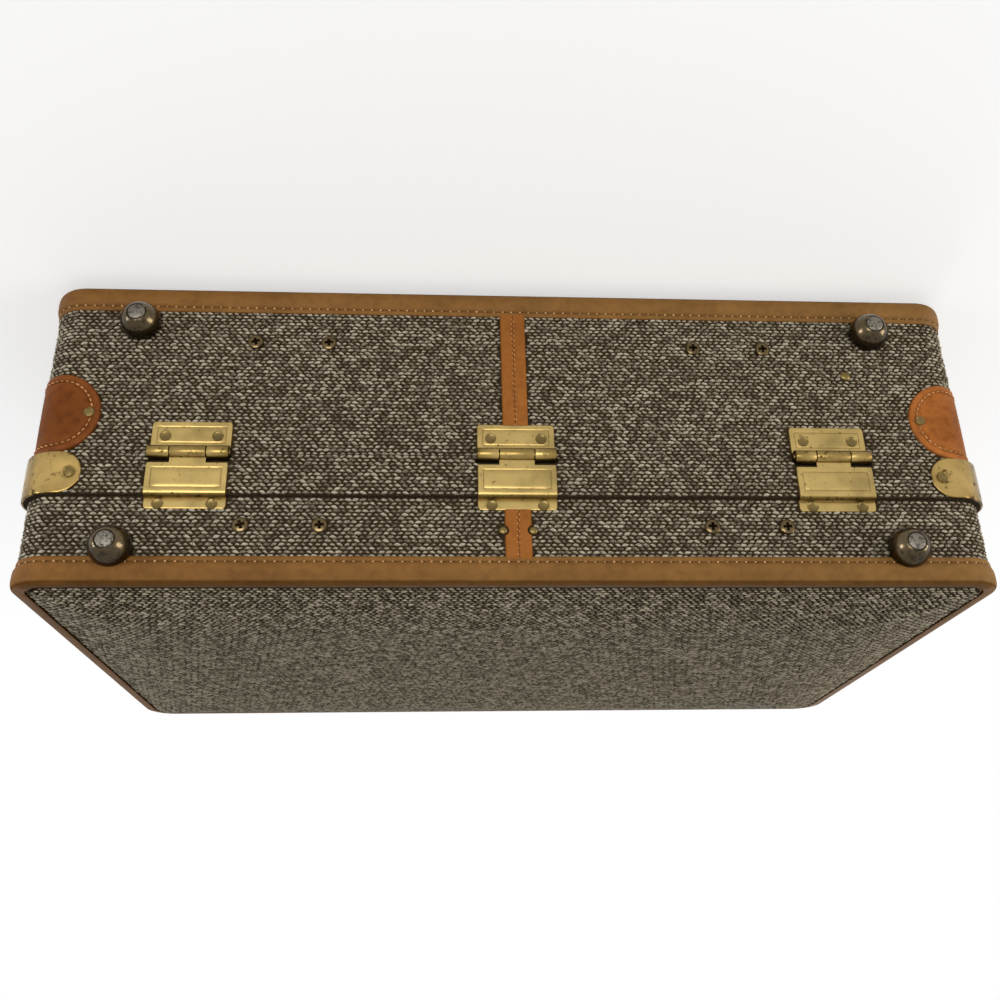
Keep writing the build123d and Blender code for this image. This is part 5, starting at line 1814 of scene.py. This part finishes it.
class SUITCASE_OT_stage(bpy.types.Operator):
    """Sets up the camera, the soft lamps, the white surround and the floor"""

    bl_idname = "suitcase.stage"
    bl_label = "Stage"

    def execute(self, context):
        scene = context.scene
        scene.view_settings.view_transform = "Standard"
        # The photograph's camera, fitted to the case: across, up and back are its own axes.
        camera = bpy.data.cameras.new("Camera")
        camera.sensor_width = 36.0
        camera.lens = 37.2
        camera.clip_start = 0.01
        scene.camera = add_object("Camera", camera)
        across, up, back = (0.9979, 0.0608, 0.0208), (-0.0053, 0.4003, -0.9164), (-0.0641, 0.9143, 0.3998)
        place = (-0.0455, 0.6699, 0.3645)
        scene.camera.matrix_world = Matrix([*zip(across, up, back, place), (0, 0, 0, 1)])

        world = bpy.data.worlds.new("Surround")
        scene.world = world
        world.use_nodes = True
        world.node_tree.nodes.clear()
        add = partial(add_node, world.node_tree)
        strength = white_to_the_eye(add, 0.28, 1.0)
        sky = add("ShaderNodeBackground", {"Color": (1, 1, 1, 1), "Strength": strength})
        add("ShaderNodeOutputWorld", {"Surface": sky})

        add_lamp("Front lamp", (-0.4, 2.4, 0.22), 1.3, 32, "#FFFDF8")
        add_lamp("Right lamp", (2.0, 0.9, 0.25), 1.1, 30, "#FFFAF0")
        add_lamp("Left lamp", (-2.0, 0.9, 0.25), 0.6, 14, "#F8FAFF")
        add_lamp("Back lamp", (0.3, -2.2, 0.38), 1.3, 22, "#FFFFFF")
        self.floor()
        return {"FINISHED"}

    def floor(self):
        """A plain white sweep that shows white where it is lit and keeps the shadow."""
        material, add, place = start_material("Painted floor, matt")
        paint = add("ShaderNodeBsdfPrincipled", {"Base Color": (0.86, 0.86, 0.86, 1), "Roughness": 0.9})
        glow = add("ShaderNodeEmission", {"Color": (1, 1, 1, 1), "Strength": white_to_the_eye(add, 0.0, 0.5)})
        both = add("ShaderNodeAddShader", {0: paint, 1: glow})
        # Away from the case the floor passes into the white surround.
        far = add("ShaderNodeVectorMath", {0: place}, operation="LENGTH")
        share = add("ShaderNodeMapRange", {"Value": far, "From Min": 0.3, "From Max": 0.75})
        strength = white_to_the_eye(add, 0.4, 1.0)
        white = add("ShaderNodeEmission", {"Color": (1, 1, 1, 1), "Strength": strength})
        sweep = add("ShaderNodeMixShader", {0: share, 1: both, 2: white})
        add("ShaderNodeOutputMaterial", {"Surface": sweep})
        # It lies a little under the case, clear of the slubs that the case rests on.
        places = heights(-6000.0, 6000.0, 1000.0)
        skin = Skin()
        skin.grid([[(x, y, -0.8) for x in places] for y in places], flip=True)
        mesh = bpy.data.meshes.new("Floor")
        mesh.from_pydata([Vector(p) * MM for p in skin.points], [], skin.faces)
        mesh.materials.append(material)
        add_object("Floor", mesh)


OPERATORS = (
    SUITCASE_OT_stage,
    SUITCASE_OT_tweed,
    SUITCASE_OT_bindings,
    SUITCASE_OT_straps,
    SUITCASE_OT_corners,
    SUITCASE_OT_guards,
    SUITCASE_OT_hinges,
    SUITCASE_OT_fasteners,
    SUITCASE_OT_latches,
    SUITCASE_OT_handle,
    SUITCASE_OT_shell,
    SUITCASE_OT_inside,
)
SETTINGS = {
    "suitcase_tweed": SuitcaseTweed,
    "suitcase_leather": SuitcaseLeather,
    "suitcase_metal": SuitcaseMetal,
    "suitcase_inside": SuitcaseInside,
}


class SUITCASE_PT_sidebar(bpy.types.Panel):
    """Lists the suitcase's settings and its pieces"""

    bl_idname = "SUITCASE_PT_sidebar"
    bl_label = "Suitcase"
    bl_space_type = "VIEW_3D"
    bl_region_type = "UI"
    bl_category = "Suitcase"

    def draw(self, context):
        for name, group in SETTINGS.items():
            box = self.layout.box()
            for label in group.__annotations__:
                box.prop(getattr(context.scene, name), label)
        for operator in OPERATORS:
            self.layout.operator(operator.bl_idname)


def register():
    """Registers the settings, the operators and the panel."""
    for group in SETTINGS.values():
        bpy.utils.register_class(group)
    for name, group in SETTINGS.items():
        setattr(bpy.types.Scene, name, PointerProperty(type=group))
    for item in (*OPERATORS, SUITCASE_PT_sidebar):
        bpy.utils.register_class(item)


def unregister():
    """Takes away what register added."""
    for item in reversed((*OPERATORS, SUITCASE_PT_sidebar)):
        bpy.utils.unregister_class(item)
    for name, group in SETTINGS.items():
        delattr(bpy.types.Scene, name)
        bpy.utils.unregister_class(group)


def main():
    """Makes every piece in order."""
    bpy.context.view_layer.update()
    register()
    bpy.ops.suitcase.stage()
    bpy.ops.suitcase.tweed()
    bpy.ops.suitcase.bindings()
    bpy.ops.suitcase.straps()
    bpy.ops.suitcase.corners()
    bpy.ops.suitcase.guards()
    bpy.ops.suitcase.hinges()
    bpy.ops.suitcase.fasteners()
    bpy.ops.suitcase.latches()
    bpy.ops.suitcase.handle()
    bpy.ops.suitcase.shell()
    bpy.ops.suitcase.inside()


if __name__ == "__main__":
    main()
